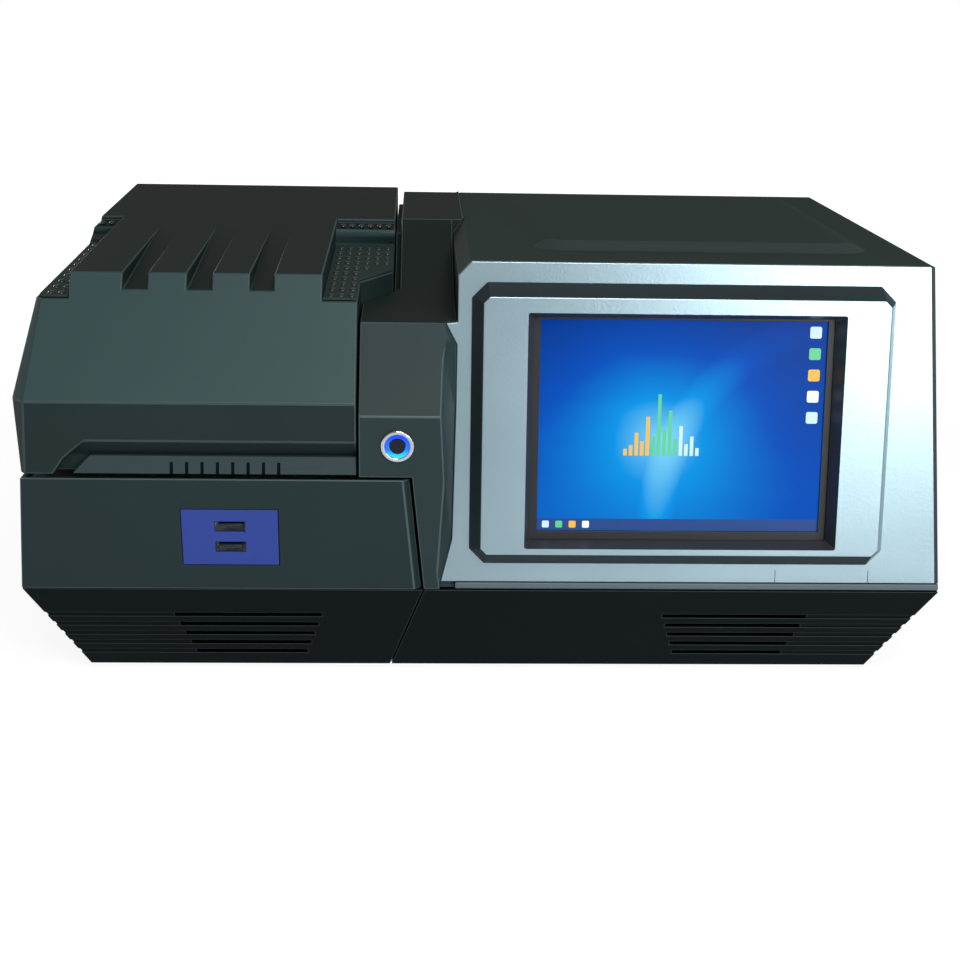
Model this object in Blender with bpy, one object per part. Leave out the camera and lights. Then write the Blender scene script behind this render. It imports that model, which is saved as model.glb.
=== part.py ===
"""Benchtop x-ray fluorescence analyzer.

A measuring chamber under a hinged hood, a centre column with a lit push button and a
display housing stand side by side on a vented base. Lengths are metres, +Z is up and the
front looks along -Y. Inside the body frame, y runs back from the belt line of the front
and z runs up from the lower edge of the base.
"""

from math import acos, cos, pi, radians, sin, tan

import bmesh
import bpy
from mathutils import Matrix, Vector

# overall form
HALF_WIDTH = 0.300
BODY_DEPTH = 0.375
FOOT_HEIGHT = 0.005
BASE_HEIGHT = 0.0695
BODY_HEIGHT = 0.0775
LID_SLIT = 0.0027
CHIN_HEIGHT = 0.0483
BROW_HEIGHT = 0.0733
BROW_SET = 0.0273
LID_TOP_SLOPE_HEIGHT = 0.0136
HOUSING_HEIGHT = 0.2118
CHIN_LEAN = radians(7.5)
FASCIA_LEAN = radians(6.0)
SIDE_LEAN = radians(4.4)
WALL = 0.003

# clearances and mesh settings
FIT = 0.0003
OVERRUN = 0.010
MERGE = 0.00001
ROUND_STEPS = 24
SMALL_STEPS = 16
SMOOTH_ANGLE = radians(35.0)

# levels that follow from the heights
RIM_RISE = BASE_HEIGHT + BODY_HEIGHT
LID_FOOT_RISE = RIM_RISE + LID_SLIT
CREASE_RISE = LID_FOOT_RISE + CHIN_HEIGHT
BROW_RISE = CREASE_RISE + BROW_HEIGHT
LID_TOP_RISE = BROW_RISE + LID_TOP_SLOPE_HEIGHT
TOP_RISE = BASE_HEIGHT + HOUSING_HEIGHT

# base covers, vents and chassis
BASE_TAPER = 0.0337
BASE_UNDERCUT = 0.040
SEAM_SLANT = 0.022
SEAM_GAP = 0.0012
VENT_COUNT = 5
VENT_PITCH = 0.0085
VENT_SLOT = 0.0032
VENT_DROP = 0.0232
VENT_HALF_TOP = 0.0486
VENT_HALF_FOOT = 0.0376
VENT_LEFT_SHARE = -0.520
VENT_RIGHT_SHARE = 0.560
VENT_GROOVE = 0.0007
VENT_WRAP = 0.060
VENT_LAP = 0.001
CHASSIS_PLATE = 0.0025
FOOT_RADIUS = 0.012
FOOT_EDGE = 0.002
FOOT_INSET_X = 0.035
FOOT_INSET_Y = 0.030

# centre column layout
MODULE_SPLIT_X = -0.020
STRIP_WIDTH_BELT = 0.0199
STRIP_WIDTH_RIM = 0.0278
COLUMN_WIDTH = 0.0615
COLUMN_REAR_WIDTH = 0.0373
COLUMN_STEP_FRONT = 0.0753
COLUMN_STEP_BACK = 0.1114
COLUMN_SLIT = 0.0019
COLUMN_WALL_SHARE = 1.25
COLUMN_CREASE_DROP = 0.0913
SHOULDER_DROP = 0.0388
SHOULDER_SET = 0.0194
RAMP_START_SET = 0.070
RAMP_START_LIFT = 0.0015
RAMP_END_SET = 0.212
RAMP_STEPS = 5
LEDGE_CLEAR = 0.0008
LEDGE_DROP = 0.0105
LEDGE_HEIGHT = 0.008
LEDGE_INSET = 0.002
WEDGE_EDGE = 0.0005
FACET_INSET = 0.010
FACET_TOP_INSET = 0.0072
STRIP_RIGHT = MODULE_SPLIT_X - FIT
COLUMN_LEFT = STRIP_RIGHT - COLUMN_WIDTH
COLUMN_REAR_LEFT = STRIP_RIGHT - COLUMN_REAR_WIDTH
COLUMN_FOOT_RISE = RIM_RISE + COLUMN_SLIT
COLUMN_CREASE_RISE = TOP_RISE - COLUMN_CREASE_DROP
SHOULDER_RISE = TOP_RISE - SHOULDER_DROP

# lower left body and its service panel
BODY_GAP = 0.0018
BODY_BEVEL = 0.0042
PANEL_WIDTH = 0.0615
PANEL_HEIGHT = 0.0389
PANEL_X_SHARE = -0.548
PANEL_LIFT_SHARE = 0.475
PANEL_SINK = 0.0005
SOCKET_WIDTH = 0.0210
SOCKET_HEIGHT = 0.0086
SOCKET_DEPTH = 0.018
SOCKET_WALL = 0.0007
SOCKET_PITCH = 0.0142
SOCKET_LIFT = 0.0004

# chamber deck and stage
DECK_DROP = 0.003
DECK_PLATE = 0.002
STAGE_SET_SHARE = 0.493
STAGE_RADIUS = 0.055
STAGE_PLATE = 0.002
WINDOW_RADIUS = 0.0123
RING_RADIUS = 0.018
RING_PROUD = 0.0005
FILM_THICK = 0.0003
GASKET_WIDTH = 0.008
POST_RADIUS = 0.005
POST_INSET_X = 0.046
POST_INSET_Y = 0.045

# hood
LID_GAP_FRONT = 0.0015
LID_GAP_REAR = 0.0048
LID_STEP_FRONT = 0.0758
LID_STEP_BACK = 0.107
LID_SIDE_FOOT_SET = 0.0063
LID_SIDE_CREASE_SET = 0.0035
LID_SIDE_TOP_SET = 0.0215
CORNER_FOOT = 0.0027
CORNER_CREASE = 0.0087
CORNER_CREASE_BACK = 0.0111
CORNER_BROW = 0.0041
CORNER_BROW_SHARE = 0.754
GROOVE_SHARES = ((0.2449, 0.3253), (0.4508, 0.5318), (0.6527, 0.7305))
GROOVE_DROP = 0.010
GROOVE_RUN = 0.1577
LEFT_GRIP_SHARE = 0.0758
RIGHT_GRIP_SHARE = 0.8862
GRIP_DROP = 0.0137
GRIP_END_DROP = 0.0107
GRIP_RUN = 0.1627
GRIP_WALL_RUN_SHARES = (0.3, 0.7, 1.0)
GRIP_WALL_RISE_SHARES = (0.12, 0.43, 1.0)
GRIP_WALL_RUN = 0.010
GRIP_WALL_HEIGHT = 0.0095
GRIP_SHELF = 0.024
GRIP_SHELF_LIFT = 0.0011
PAD_THICK = 0.0015
LID_CEILING = 0.020
SLOPE_WALL_SHARE = 1.5
LID_POCKET_MARGIN = 0.0033
HANDLE_HEIGHT = 0.0227
HANDLE_DEPTH = 0.010
HANDLE_CEILING_DROP = 0.0115
HANDLE_END_FOOT = 0.0204
HANDLE_END_MIDDLE = 0.0278
HANDLE_END_TOP = 0.0418
HANDLE_END_SHARE = 0.475
INSERT_HEIGHT = 0.0111
INSERT_SINK_FOOT = 0.002
INSERT_SINK_TOP = 0.0055
INSERT_END_FOOT = 0.0323
INSERT_END_MIDDLE = 0.0401
INSERT_END_TOP = 0.0492
INSERT_END_SHARE = 0.73
INSERT_LIFT = 0.0002
INSERT_SLOTS = 8
INSERT_SLOT_WIDTH = 0.0015
INSERT_SLOT_DEPTH = 0.002
INSERT_SLOT_SHARE = 0.65
INSERT_SLOT_FIRST_SHARE = 0.404
INSERT_SLOT_LAST_SHARE = 0.749
LINER_WALL = 0.0015
LINER_MARGIN_X = 0.0087
LINER_LEFT_MARGIN = 0.028
LINER_FRONT_SET = 0.025
LINER_BACK_MARGIN = 0.030

# plan positions that follow from the layout
LID_RIGHT = COLUMN_LEFT - LID_GAP_FRONT
LID_REAR_RIGHT = COLUMN_REAR_LEFT - LID_GAP_REAR
LID_TOP_LEFT = LID_SIDE_TOP_SET - HALF_WIDTH
LID_SPAN = LID_RIGHT - LID_TOP_LEFT
LINER_LEFT = LINER_LEFT_MARGIN - HALF_WIDTH
LINER_RIGHT = LID_RIGHT - LINER_MARGIN_X
LINER_BACK = BODY_DEPTH - LINER_BACK_MARGIN
DECK_TOP = RIM_RISE - DECK_DROP
GASKET_TOP = LID_FOOT_RISE - LID_SLIT / 2
LINER_FOOT = GASKET_TOP + FIT
STAGE_X = (LINER_LEFT + LINER_RIGHT) / 2
STAGE_Y = BODY_DEPTH * STAGE_SET_SHARE
STAGE_FOOT = DECK_TOP + FIT

# lit push button
BUTTON_X = -0.0575
BUTTON_LIFT = 0.0217
BEZEL_RADIUS = 0.0111
BEZEL_CROWN_RADIUS = 0.0102
BEZEL_HEIGHT = 0.0019
BEZEL_LIP = 0.0003
BARREL_RADIUS = 0.0094
BARREL_BORE = 0.0080
BARREL_DEPTH = 0.024
CAP_BORE = 0.0053
RING_SEAT = 0.0020
LIGHT_HEIGHT = 0.0012
CAP_RADIUS = 0.0050
CAP_HEIGHT = 0.0013
CAP_DEPTH = 0.012
NUT_RADIUS = 0.013
NUT_HEIGHT = 0.0035
NUT_SIDES = 6
TERMINAL_RADIUS = 0.009
TERMINAL_HEIGHT = 0.010

# display housing, fascia and screen
FASCIA_FOOT = 0.0051
FASCIA_SET = 0.002
FASCIA_THICK = 0.003
FASCIA_EDGE_LEVELS_SHARE = (0.0, 0.1374, 0.5583, 0.7470, 0.8108, 0.8147, 0.9574)
FASCIA_EDGE_REACH = (0.0093, 0.0022, 0.0006, 0.0003, 0.0073, -0.0001, -0.0001)
FASCIA_CORNER = 0.0085
SILL_SET = 0.0012
HOUSING_BEVEL_X = 0.0085
HOUSING_BEVEL_Z = 0.0088
SCREEN_LEFT_MARGIN = 0.053
SCREEN_RIGHT_MARGIN = 0.0826
SCREEN_FOOT_MARGIN = 0.039
SCREEN_TOP_MARGIN = 0.0358
SCREEN_WIDTH = HALF_WIDTH - MODULE_SPLIT_X - SCREEN_LEFT_MARGIN - SCREEN_RIGHT_MARGIN
SCREEN_HEIGHT = HOUSING_HEIGHT - SCREEN_FOOT_MARGIN - SCREEN_TOP_MARGIN
SCREEN_X = MODULE_SPLIT_X + SCREEN_LEFT_MARGIN + SCREEN_WIDTH / 2
SCREEN_RISE = BASE_HEIGHT + SCREEN_FOOT_MARGIN + SCREEN_HEIGHT / 2
MASK_BORDER = (0.0085, 0.0067)
MASK_SINK = 0.001
GLASS_BORDER = (0.0108, 0.0095)
GLASS_THICK = 0.0018
CELL_BORDER = (0.0078, 0.0065)
CELL_THICK = 0.008
TRAY_RIM = 0.0175
TRAY_FLOOR = 0.0015
WINDOW_BORDER = (0.0153, 0.014)
SCREEN_FRAME_RISE = 0.0125
SCREEN_FRAME_LEFT_MARGIN = 0.0086
SCREEN_FRAME_RIGHT_MARGIN = 0.040
SCREEN_FRAME_TOP_MARGIN = 0.0123
SCREEN_FRAME_FOOT_MARGIN = 0.0174
SCREEN_FRAME_CUT = 0.010
FACE_LEFT_INSET = 0.0071
FACE_RIGHT_INSET = 0.0056
FACE_TOP_INSET = 0.0073
FACE_FOOT_INSET = 0.0096
FACE_CUT = 0.004
OPENING_BORDER = 0.00865
OPENING_TOP_BORDER = 0.0062
OPENING_FOOT_BORDER = 0.0075
THROAT_BORDER = 0.0045
THROAT_TOP_BORDER = 0.0015
THROAT_FOOT_BORDER = 0.0055
THROAT_CUT = 0.0015
TOP_PANEL_LEFT = 0.048
TOP_PANEL_RIGHT = 0.0258
TOP_PANEL_FRONT = 0.071
TOP_PANEL_BACK = 0.030
TOP_PANEL_CUT_X = 0.014
TOP_PANEL_CUT_Y = 0.036
TOP_PANEL_SLOPE = 0.007
TOP_PANEL_FRONT_SLOPE = 0.013
TOP_PANEL_HEIGHT = 0.005

# hinges of the hood
HINGE_SHARES = (-0.767, -0.400)
HINGE_LENGTH = 0.054
KNUCKLE_RADIUS = 0.0045
PIN_RADIUS = 0.002
LEAF_THICK = 0.0015
LEAF_HEIGHT = 0.034
KNUCKLE_CLEAR = 0.0006

# rear panel, fans, inlet and power switch
REAR_OPENING_LEFT = 0.038
REAR_OPENING_RIGHT = 0.058
REAR_OPENING_FOOT = 0.0285
REAR_OPENING_TOP = 0.0343
REAR_LAP = 0.008
REAR_PLATE = 0.0015
FAN_SIZE_SHARE = 5 / 14
FAN_DEPTH = 0.025
FAN_WALL = 0.0015
FAN_TIP_GAP = 0.002
FAN_HUB = 0.018
FAN_SPIDER = 0.003
FAN_ARM = 0.005
FAN_BLADES = 7
FAN_BLADE = 0.0012
FAN_BLADE_CHORD = 0.0085
FAN_LIFT = 0.1205
FAN_SPREAD_SHARE = 1.25
FAN_OFFSET = 0.010
FAN_VENTS = 8
FAN_VENT_PITCH = 0.008
FAN_VENT_SLOT = 0.004
INLET_MARGIN = 0.088
INLET_LIFT = 0.0485
INLET_WIDTH = 0.0280
INLET_HEIGHT = 0.0220
INLET_FLANGE = 0.003
INLET_FLANGE_THICK = 0.002
INLET_CAVITY_WIDTH = 0.0225
INLET_CAVITY_HEIGHT = 0.0160
INLET_CAVITY_DEPTH = 0.016
INLET_DEPTH = 0.024
INLET_PIN_WIDTH = 0.002
INLET_PIN_HEIGHT = 0.004
INLET_PIN_LENGTH = 0.008
INLET_PIN_SPREAD = 0.007
INLET_PIN_LIFT = 0.003
SWITCH_MARGIN = 0.150
SWITCH_WIDTH = 0.019
SWITCH_HEIGHT = 0.028
SWITCH_DEPTH = 0.022
SWITCH_WALL = 0.002
SWITCH_CAVITY_DEPTH = 0.018
ROCKER_TILT = radians(9.0)
ROCKER_PIVOT = 0.004
ROCKER_ROOT = 0.005
ROCKER_ROOT_HALF = 0.004
ROCKER_EDGE = 0.0015
ROCKER_REACH = 0.0105
ROCKER_FRONT = 0.0065
ROCKER_MIDDLE = 0.0045
REAR_WIDTH = HALF_WIDTH - REAR_OPENING_RIGHT - MODULE_SPLIT_X - REAR_OPENING_LEFT
FAN_SIZE = REAR_WIDTH * FAN_SIZE_SHARE
FAN_BORE = FAN_SIZE / 2 - FAN_WALL
FAN_SWEEP = FAN_BORE - FAN_TIP_GAP
FAN_SPREAD = FAN_SIZE * FAN_SPREAD_SHARE
FAN_CENTRE_X = HALF_WIDTH - REAR_OPENING_RIGHT - REAR_WIDTH / 2 - FAN_OFFSET
INLET_X = HALF_WIDTH - INLET_MARGIN
SWITCH_X = HALF_WIDTH - SWITCH_MARGIN

# measuring head under the deck
HEAD_SIZE = 0.070
HEAD_HEIGHT = 0.040
BEAM_RADIUS = 0.010
TUBE_RADIUS = 0.018
TUBE_NECK_RADIUS = 0.012
TUBE_NECK_HEIGHT = 0.010
SHIELD_THICK = 0.004
SHIELD_DROP = 0.004
WHEEL_RADIUS = 0.050
WHEEL_PITCH_RADIUS = 0.040
WHEEL_HOLES = 6
WHEEL_HOLE_RADIUS = 0.004
WHEEL_THICK = 0.003
WHEEL_CLEAR = 0.0015
MOTOR_SIZE = 0.028
MOTOR_HEIGHT = 0.030
SHAFT_RADIUS = 0.0025
MOTOR_STAND_WALL = 0.003
DETECTOR_RADIUS = 0.012
DETECTOR_LENGTH = 0.050
CAMERA_SIZE = 0.026
CAMERA_LENGTH = 0.034
SUPPLY_SIZE = (0.120, 0.080, 0.060)
SUPPLY_BACK_MARGIN = 0.055

# electronics in the display housing
BOARD_DEPTH = 0.190
BOARD_THICK = 0.0016
BOARD_LEFT = 0.060
BOARD_SET = 0.080
STANDOFF_RADIUS = 0.003
STANDOFF_HEIGHT = 0.009
STANDOFF_INSET = 0.008
POWER_SIZE = (0.050, 0.160, 0.045)
POWER_GAP = 0.008
POWER_MARGIN = 0.062

# finishes: colour, roughness, metallic share
ENAMEL = ((0.046, 0.068, 0.066, 1.0), 0.42, 0.0)
DARK_ENAMEL = ((0.012, 0.017, 0.018, 1.0), 0.5, 0.0)
SILVER = ((0.42, 0.50, 0.53, 1.0), 0.32, 0.85)
BLACK_PLASTIC = ((0.012, 0.013, 0.014, 1.0), 0.45, 0.0)
GREY_PLASTIC = ((0.16, 0.17, 0.18, 1.0), 0.5, 0.0)
BLUE_PLASTIC = ((0.035, 0.07, 0.42, 1.0), 0.4, 0.0)
SCREEN_BLUE = ((0.0, 0.11, 0.55, 1.0), 0.2, 0.0)
CLEAR_GLASS = ((0.75, 0.82, 0.85, 1.0), 0.05, 0.0)
LIGHT_BLUE = ((0.25, 0.55, 1.0, 1.0), 0.3, 0.0)
CHROME = ((0.75, 0.76, 0.78, 1.0), 0.12, 1.0)
STEEL = ((0.50, 0.51, 0.52, 1.0), 0.35, 1.0)
BRASS = ((0.70, 0.48, 0.18, 1.0), 0.3, 1.0)
ALUMINIUM = ((0.62, 0.64, 0.66, 1.0), 0.4, 1.0)
LEAD_GREY = ((0.22, 0.23, 0.25, 1.0), 0.55, 0.9)
RUBBER = ((0.015, 0.015, 0.016, 1.0), 0.85, 0.0)
BOARD_GREEN = ((0.02, 0.16, 0.07, 1.0), 0.45, 0.0)
FILM_AMBER = ((0.55, 0.30, 0.06, 1.0), 0.25, 0.0)


# solids
def chin_y(rise):
    """Return the depth of the leaning front plane of body, hood and column."""
    return (BASE_HEIGHT - rise) * tan(CHIN_LEAN)


def fascia_y(rise):
    """Return the depth of the silver fascia's front plane."""
    return FASCIA_SET + (rise - BASE_HEIGHT - FASCIA_FOOT) * tan(FASCIA_LEAN)


def side_x(rise):
    """Return the half width of the leaning sides."""
    return HALF_WIDTH - (rise - BASE_HEIGHT) * tan(SIDE_LEAN)


def slope_y(rise):
    """Return the depth of the hood's sloped front above its crease."""
    share = (rise - CREASE_RISE) / BROW_HEIGHT
    return chin_y(CREASE_RISE) + (BROW_SET - chin_y(CREASE_RISE)) * share


def lid_top(y):
    """Return the height of the hood's top surface at one depth."""
    return BROW_RISE + LID_TOP_SLOPE_HEIGHT * (y - BROW_SET) / (BODY_DEPTH - BROW_SET)


def bridged(rings, closed):
    """Return the solid whose rings of equal point counts are joined in order."""
    bm = bmesh.new()
    loops = [[bm.verts.new(point) for point in ring] for ring in rings]
    pairs = list(zip(loops, loops[1:]))
    if closed:
        pairs.append((loops[-1], loops[0]))
    for low, high in pairs:
        for index in range(len(low)):
            after = (index + 1) % len(low)
            bm.faces.new((low[index], low[after], high[after], high[index]))
    if not closed:
        bm.faces.new(loops[0])
        bm.faces.new(loops[-1])
    bmesh.ops.recalc_face_normals(bm, faces=bm.faces)
    return bm


def block(low, high):
    """Return a box between two opposite corners."""
    bm = bmesh.new()
    bmesh.ops.create_cube(bm, size=1.0)
    size = [top - foot for foot, top in zip(low, high)]
    centre = [(top + foot) / 2 for foot, top in zip(low, high)]
    bmesh.ops.scale(bm, vec=size, verts=bm.verts)
    bmesh.ops.translate(bm, vec=centre, verts=bm.verts)
    return bm


def profile_prism(outline, left, right):
    """Return a (y, z) outline drawn out along X."""
    return bridged([[(x, y, z) for y, z in outline] for x in (left, right)], False)


def plan_prism(outline, foot, top):
    """Return an (x, y) outline drawn out along Z."""
    return bridged([[(x, y, z) for x, y in outline] for z in (foot, top)], False)


def front_prism(outline, front, back):
    """Return an (x, z) outline drawn out along Y."""
    return bridged([[(x, y, z) for x, z in outline] for y in (front, back)], False)


def leaned(plane, outline, near, far):
    """Return an (x, z) outline as a plate that follows a leaning plane."""
    rings = [[(x, plane(z) + depth, z) for x, z in outline] for depth in (near, far)]
    return bridged(rings, False)


def leaned_frame(plane, sections):
    """Return a ring from (outline, depth) sections on a leaning plane."""
    rings = [[(x, plane(z) + depth, z) for x, z in outline] for outline, depth in sections]
    return bridged(rings, True)


def rect(centre_x, centre_z, width, height):
    """Return the corners of an upright rectangle as (x, z)."""
    left = centre_x - width / 2
    right = centre_x + width / 2
    foot = centre_z - height / 2
    top = centre_z + height / 2
    return [(left, foot), (right, foot), (right, top), (left, top)]


def around_screen(border, grow=0.0):
    """Return the rectangle round the screen with a border across and up."""
    across, up = border
    width = SCREEN_WIDTH + 2 * (across + grow)
    return rect(SCREEN_X, SCREEN_RISE, width, SCREEN_HEIGHT + 2 * (up + grow))


def octagon(left, right, foot, top, cut):
    """Return a rectangle with its four corners cut off as (x, z)."""
    return [
        (left + cut, foot),
        (right - cut, foot),
        (right, foot + cut),
        (right, top - cut),
        (right - cut, top),
        (left + cut, top),
        (left, top - cut),
        (left, foot + cut),
    ]


def trimmed(bm, point, normal):
    """Cut off the side that the normal points to and close the section."""
    geometry = bm.verts[:] + bm.edges[:] + bm.faces[:]
    cut = bmesh.ops.bisect_plane(
        bm, geom=geometry, dist=MERGE, plane_co=point, plane_no=normal, clear_outer=True
    )
    edges = [item for item in cut["geom_cut"] if isinstance(item, bmesh.types.BMEdge)]
    bmesh.ops.holes_fill(bm, edges=edges, sides=0)
    bmesh.ops.recalc_face_normals(bm, faces=bm.faces)
    return bm


def facing(first, second, third, inside):
    """Return the normal of a plane through three points, away from an inner point."""
    first = Vector(first)
    normal = (Vector(second) - first).cross(Vector(third) - first)
    if normal.dot(Vector(inside) - first) > 0:
        normal.negate()
    return normal


def turned(profile, steps=ROUND_STEPS):
    """Return a closed (radius, height) profile turned about Z."""
    bm = bmesh.new()
    verts = [bm.verts.new((radius, 0.0, height)) for radius, height in profile]
    edges = [bm.edges.new(pair) for pair in zip(verts, verts[1:])]
    if profile[0][0] > 0:
        edges.append(bm.edges.new((verts[-1], verts[0])))
    bmesh.ops.spin(
        bm,
        geom=verts + edges,
        cent=(0.0, 0.0, 0.0),
        axis=(0.0, 0.0, 1.0),
        angle=2 * pi,
        steps=steps,
        use_merge=True,
    )
    bmesh.ops.remove_doubles(bm, verts=bm.verts, dist=MERGE)
    bmesh.ops.recalc_face_normals(bm, faces=bm.faces)
    return bm


def disc(radius, foot, top, steps=ROUND_STEPS):
    """Return an upright cylinder."""
    return turned([(0.0, foot), (radius, foot), (radius, top), (0.0, top)], steps)


def tube(inner, outer, foot, top, steps=ROUND_STEPS):
    """Return an upright tube."""
    return turned([(inner, foot), (outer, foot), (outer, top), (inner, top)], steps)


def placed(bm, matrix):
    """Move a solid by a matrix."""
    bmesh.ops.transform(bm, matrix=matrix, verts=bm.verts)
    return bm


def at(x, y, z):
    """Return a plain shift."""
    return Matrix.Translation((x, y, z))


def along_x(x, y, z):
    """Return the frame whose Z runs along +X."""
    return at(x, y, z) @ Matrix.Rotation(pi / 2, 4, "Y")


def along_y(x, y, z):
    """Return the frame whose Z runs along +Y."""
    return at(x, y, z) @ Matrix.Rotation(-pi / 2, 4, "X")


def together(*solids):
    """Gather separate solids in one mesh."""
    gathered = bmesh.new()
    for solid in solids:
        mesh = bpy.data.meshes.new("gathered")
        solid.to_mesh(mesh)
        gathered.from_mesh(mesh)
        bpy.data.meshes.remove(mesh)
    return gathered


def add(name, bm, finish, parent, smooth=False):
    """Make one named object with a material of its own."""
    mesh = bpy.data.meshes.new(name)
    bm.to_mesh(mesh)
    bm.free()
    if smooth:
        mesh.shade_smooth()
        mesh.set_sharp_from_angle(angle=SMOOTH_ANGLE)
    colour, roughness, metallic = finish
    material = bpy.data.materials.new(name)
    material.use_nodes = True
    shader = material.node_tree.nodes["Principled BSDF"]
    shader.inputs["Base Color"].default_value = colour
    shader.inputs["Roughness"].default_value = roughness
    shader.inputs["Metallic"].default_value = metallic
    mesh.materials.append(material)
    piece = bpy.data.objects.new(name, mesh)
    bpy.context.scene.collection.objects.link(piece)
    piece.parent = parent
    return piece


def shaped(piece, bm, operation="DIFFERENCE"):
    """Cut a hidden solid from a piece, or fuse it on."""
    mesh = bpy.data.meshes.new("tool_" + piece.name)
    bm.to_mesh(mesh)
    bm.free()
    tool = bpy.data.objects.new("tool_" + piece.name, mesh)
    bpy.context.scene.collection.objects.link(tool)
    tool.parent = piece.parent
    tool.hide_render = True
    tool.display_type = "WIRE"
    modifier = piece.modifiers.new("shape", "BOOLEAN")
    modifier.operation = operation
    modifier.solver = "EXACT"
    modifier.object = tool
    return piece


def frame_at(name, place, parent=None, turn=(0.0, 0.0, 0.0)):
    """Make an empty that carries pieces."""
    empty = bpy.data.objects.new(name, None)
    bpy.context.scene.collection.objects.link(empty)
    empty.location = place
    empty.rotation_euler = turn
    empty.parent = parent
    return empty


# base
def base_plan(rise, inset):
    """Return the base's outline at one height as points in space."""
    share = 1.0 - rise / BASE_HEIGHT
    half = HALF_WIDTH - BASE_TAPER * share - inset
    front = BASE_UNDERCUT * share + inset
    back = BODY_DEPTH - inset
    return [(-half, front, rise), (half, front, rise), (half, back, rise), (-half, back, rise)]


def strip_left(rise):
    """Return the left edge of the column's lower strip."""
    share = (rise - BASE_HEIGHT) / BODY_HEIGHT
    return STRIP_RIGHT - STRIP_WIDTH_BELT - (STRIP_WIDTH_RIM - STRIP_WIDTH_BELT) * share


def vent_levels():
    """Return (height, half width) of each vent slot."""
    levels = []
    for index in range(VENT_COUNT):
        share = index / (VENT_COUNT - 1)
        half = VENT_HALF_TOP + (VENT_HALF_FOOT - VENT_HALF_TOP) * share
        levels.append((BASE_HEIGHT - VENT_DROP - VENT_PITCH * index, half))
    return levels


def vent_groove(side, rise, start):
    """Return the cutter of a shallow groove that runs round a front corner."""
    rings = []
    for level in (rise - VENT_SLOT / 2, rise + VENT_SLOT / 2):
        plan = base_plan(level, 0.0)
        edge = plan[1][0]
        front = plan[1][1]
        deep = edge - VENT_GROOVE
        outside = edge + OVERRUN
        corners = [
            (start, front - OVERRUN),
            (outside, front - OVERRUN),
            (outside, front + VENT_WRAP),
            (deep, front + VENT_WRAP),
            (deep, front + VENT_GROOVE),
            (start, front + VENT_GROOVE),
        ]
        rings.append([(side * x, y, level) for x, y in corners])
    return bridged(rings, False)


def build_base(root):
    """Build both base covers, the chassis plate, its feet and the deck posts."""
    top = BASE_HEIGHT - FIT
    rings = [base_plan(0.0, 0.0), base_plan(top, 0.0), base_plan(top, WALL), base_plan(0.0, WALL)]
    seam_x = strip_left(BASE_HEIGHT)
    halves = (("left_base_cover", -1, VENT_LEFT_SHARE), ("right_base_cover", 1, VENT_RIGHT_SHARE))
    for name, side, share in halves:
        cover = add(name, bridged(rings, True), DARK_ENAMEL, root)
        near = seam_x + side * SEAM_GAP / 2
        far = side * -(HALF_WIDTH + OVERRUN)
        slant = SEAM_SLANT / BASE_HEIGHT * OVERRUN
        outline = [
            (near + slant, BASE_HEIGHT + OVERRUN),
            (near - SEAM_SLANT - slant, -OVERRUN),
            (far, -OVERRUN),
            (far, BASE_HEIGHT + OVERRUN),
        ]
        shaped(cover, front_prism(outline, -OVERRUN, BODY_DEPTH + OVERRUN))
        centre = HALF_WIDTH * share
        slots = []
        grooves = []
        for rise, half in vent_levels():
            front = base_plan(rise, 0.0)[0][1]
            low = (centre - half, front - OVERRUN, rise - VENT_SLOT / 2)
            high = (centre + half, front + OVERRUN, rise + VENT_SLOT / 2)
            slots.append(block(low, high))
            grooves.append(vent_groove(side, rise, side * centre + half - VENT_LAP))
        shaped(cover, together(*slots))
        shaped(cover, together(*grooves))
    inset = WALL + FIT
    plate = bridged([base_plan(0.0, inset), base_plan(CHASSIS_PLATE, inset)], False)
    chassis = add("chassis_plate", plate, STEEL, root)
    half = HALF_WIDTH - BASE_TAPER - FOOT_INSET_X
    front = BASE_UNDERCUT + FOOT_INSET_Y
    back = BODY_DEPTH - FOOT_INSET_Y
    foot = [
        (0.0, -FOOT_HEIGHT),
        (FOOT_RADIUS - FOOT_EDGE, -FOOT_HEIGHT),
        (FOOT_RADIUS, FOOT_EDGE - FOOT_HEIGHT),
        (FOOT_RADIUS, -FIT),
        (0.0, -FIT),
    ]
    places = (
        ("foot_front_left", -half, front),
        ("foot_front_right", half, front),
        ("foot_rear_left", -half, back),
        ("foot_rear_right", half, back),
    )
    for name, x, y in places:
        add(name, placed(turned(foot), at(x, y, 0.0)), RUBBER, root, True)
    posts = []
    foot_rise = CHASSIS_PLATE / 2
    post_right = strip_left(BASE_HEIGHT) - POST_INSET_X
    for x in (POST_INSET_X - HALF_WIDTH, post_right):
        for y in (BASE_UNDERCUT + POST_INSET_Y - WALL, BODY_DEPTH - POST_INSET_Y):
            post = disc(POST_RADIUS, foot_rise, DECK_TOP - DECK_PLATE - FIT, SMALL_STEPS)
            posts.append(placed(post, at(x, y, 0.0)))
    shaped(chassis, together(*posts), "UNION")


# lower left body, service panel and chamber deck
def body_plan(rise, inset):
    """Return the lower left body's outline at one height."""
    left = inset - side_x(rise)
    right = strip_left(rise) - BODY_GAP - inset
    front = chin_y(rise) + inset
    back = BODY_DEPTH - inset
    points = [
        (left, front),
        (right - BODY_BEVEL, front),
        (right, front + BODY_BEVEL),
        (right, back),
        (left, back),
    ]
    return [(x, y, rise) for x, y in points]


def frame_plan(grow, rise):
    """Return the liner's outline, grown outwards, as points in space."""
    left = LINER_LEFT - grow
    right = LINER_RIGHT + grow
    front = LINER_FRONT_SET - grow
    back = LINER_BACK + grow
    return [(left, front, rise), (right, front, rise), (right, back, rise), (left, back, rise)]


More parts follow.
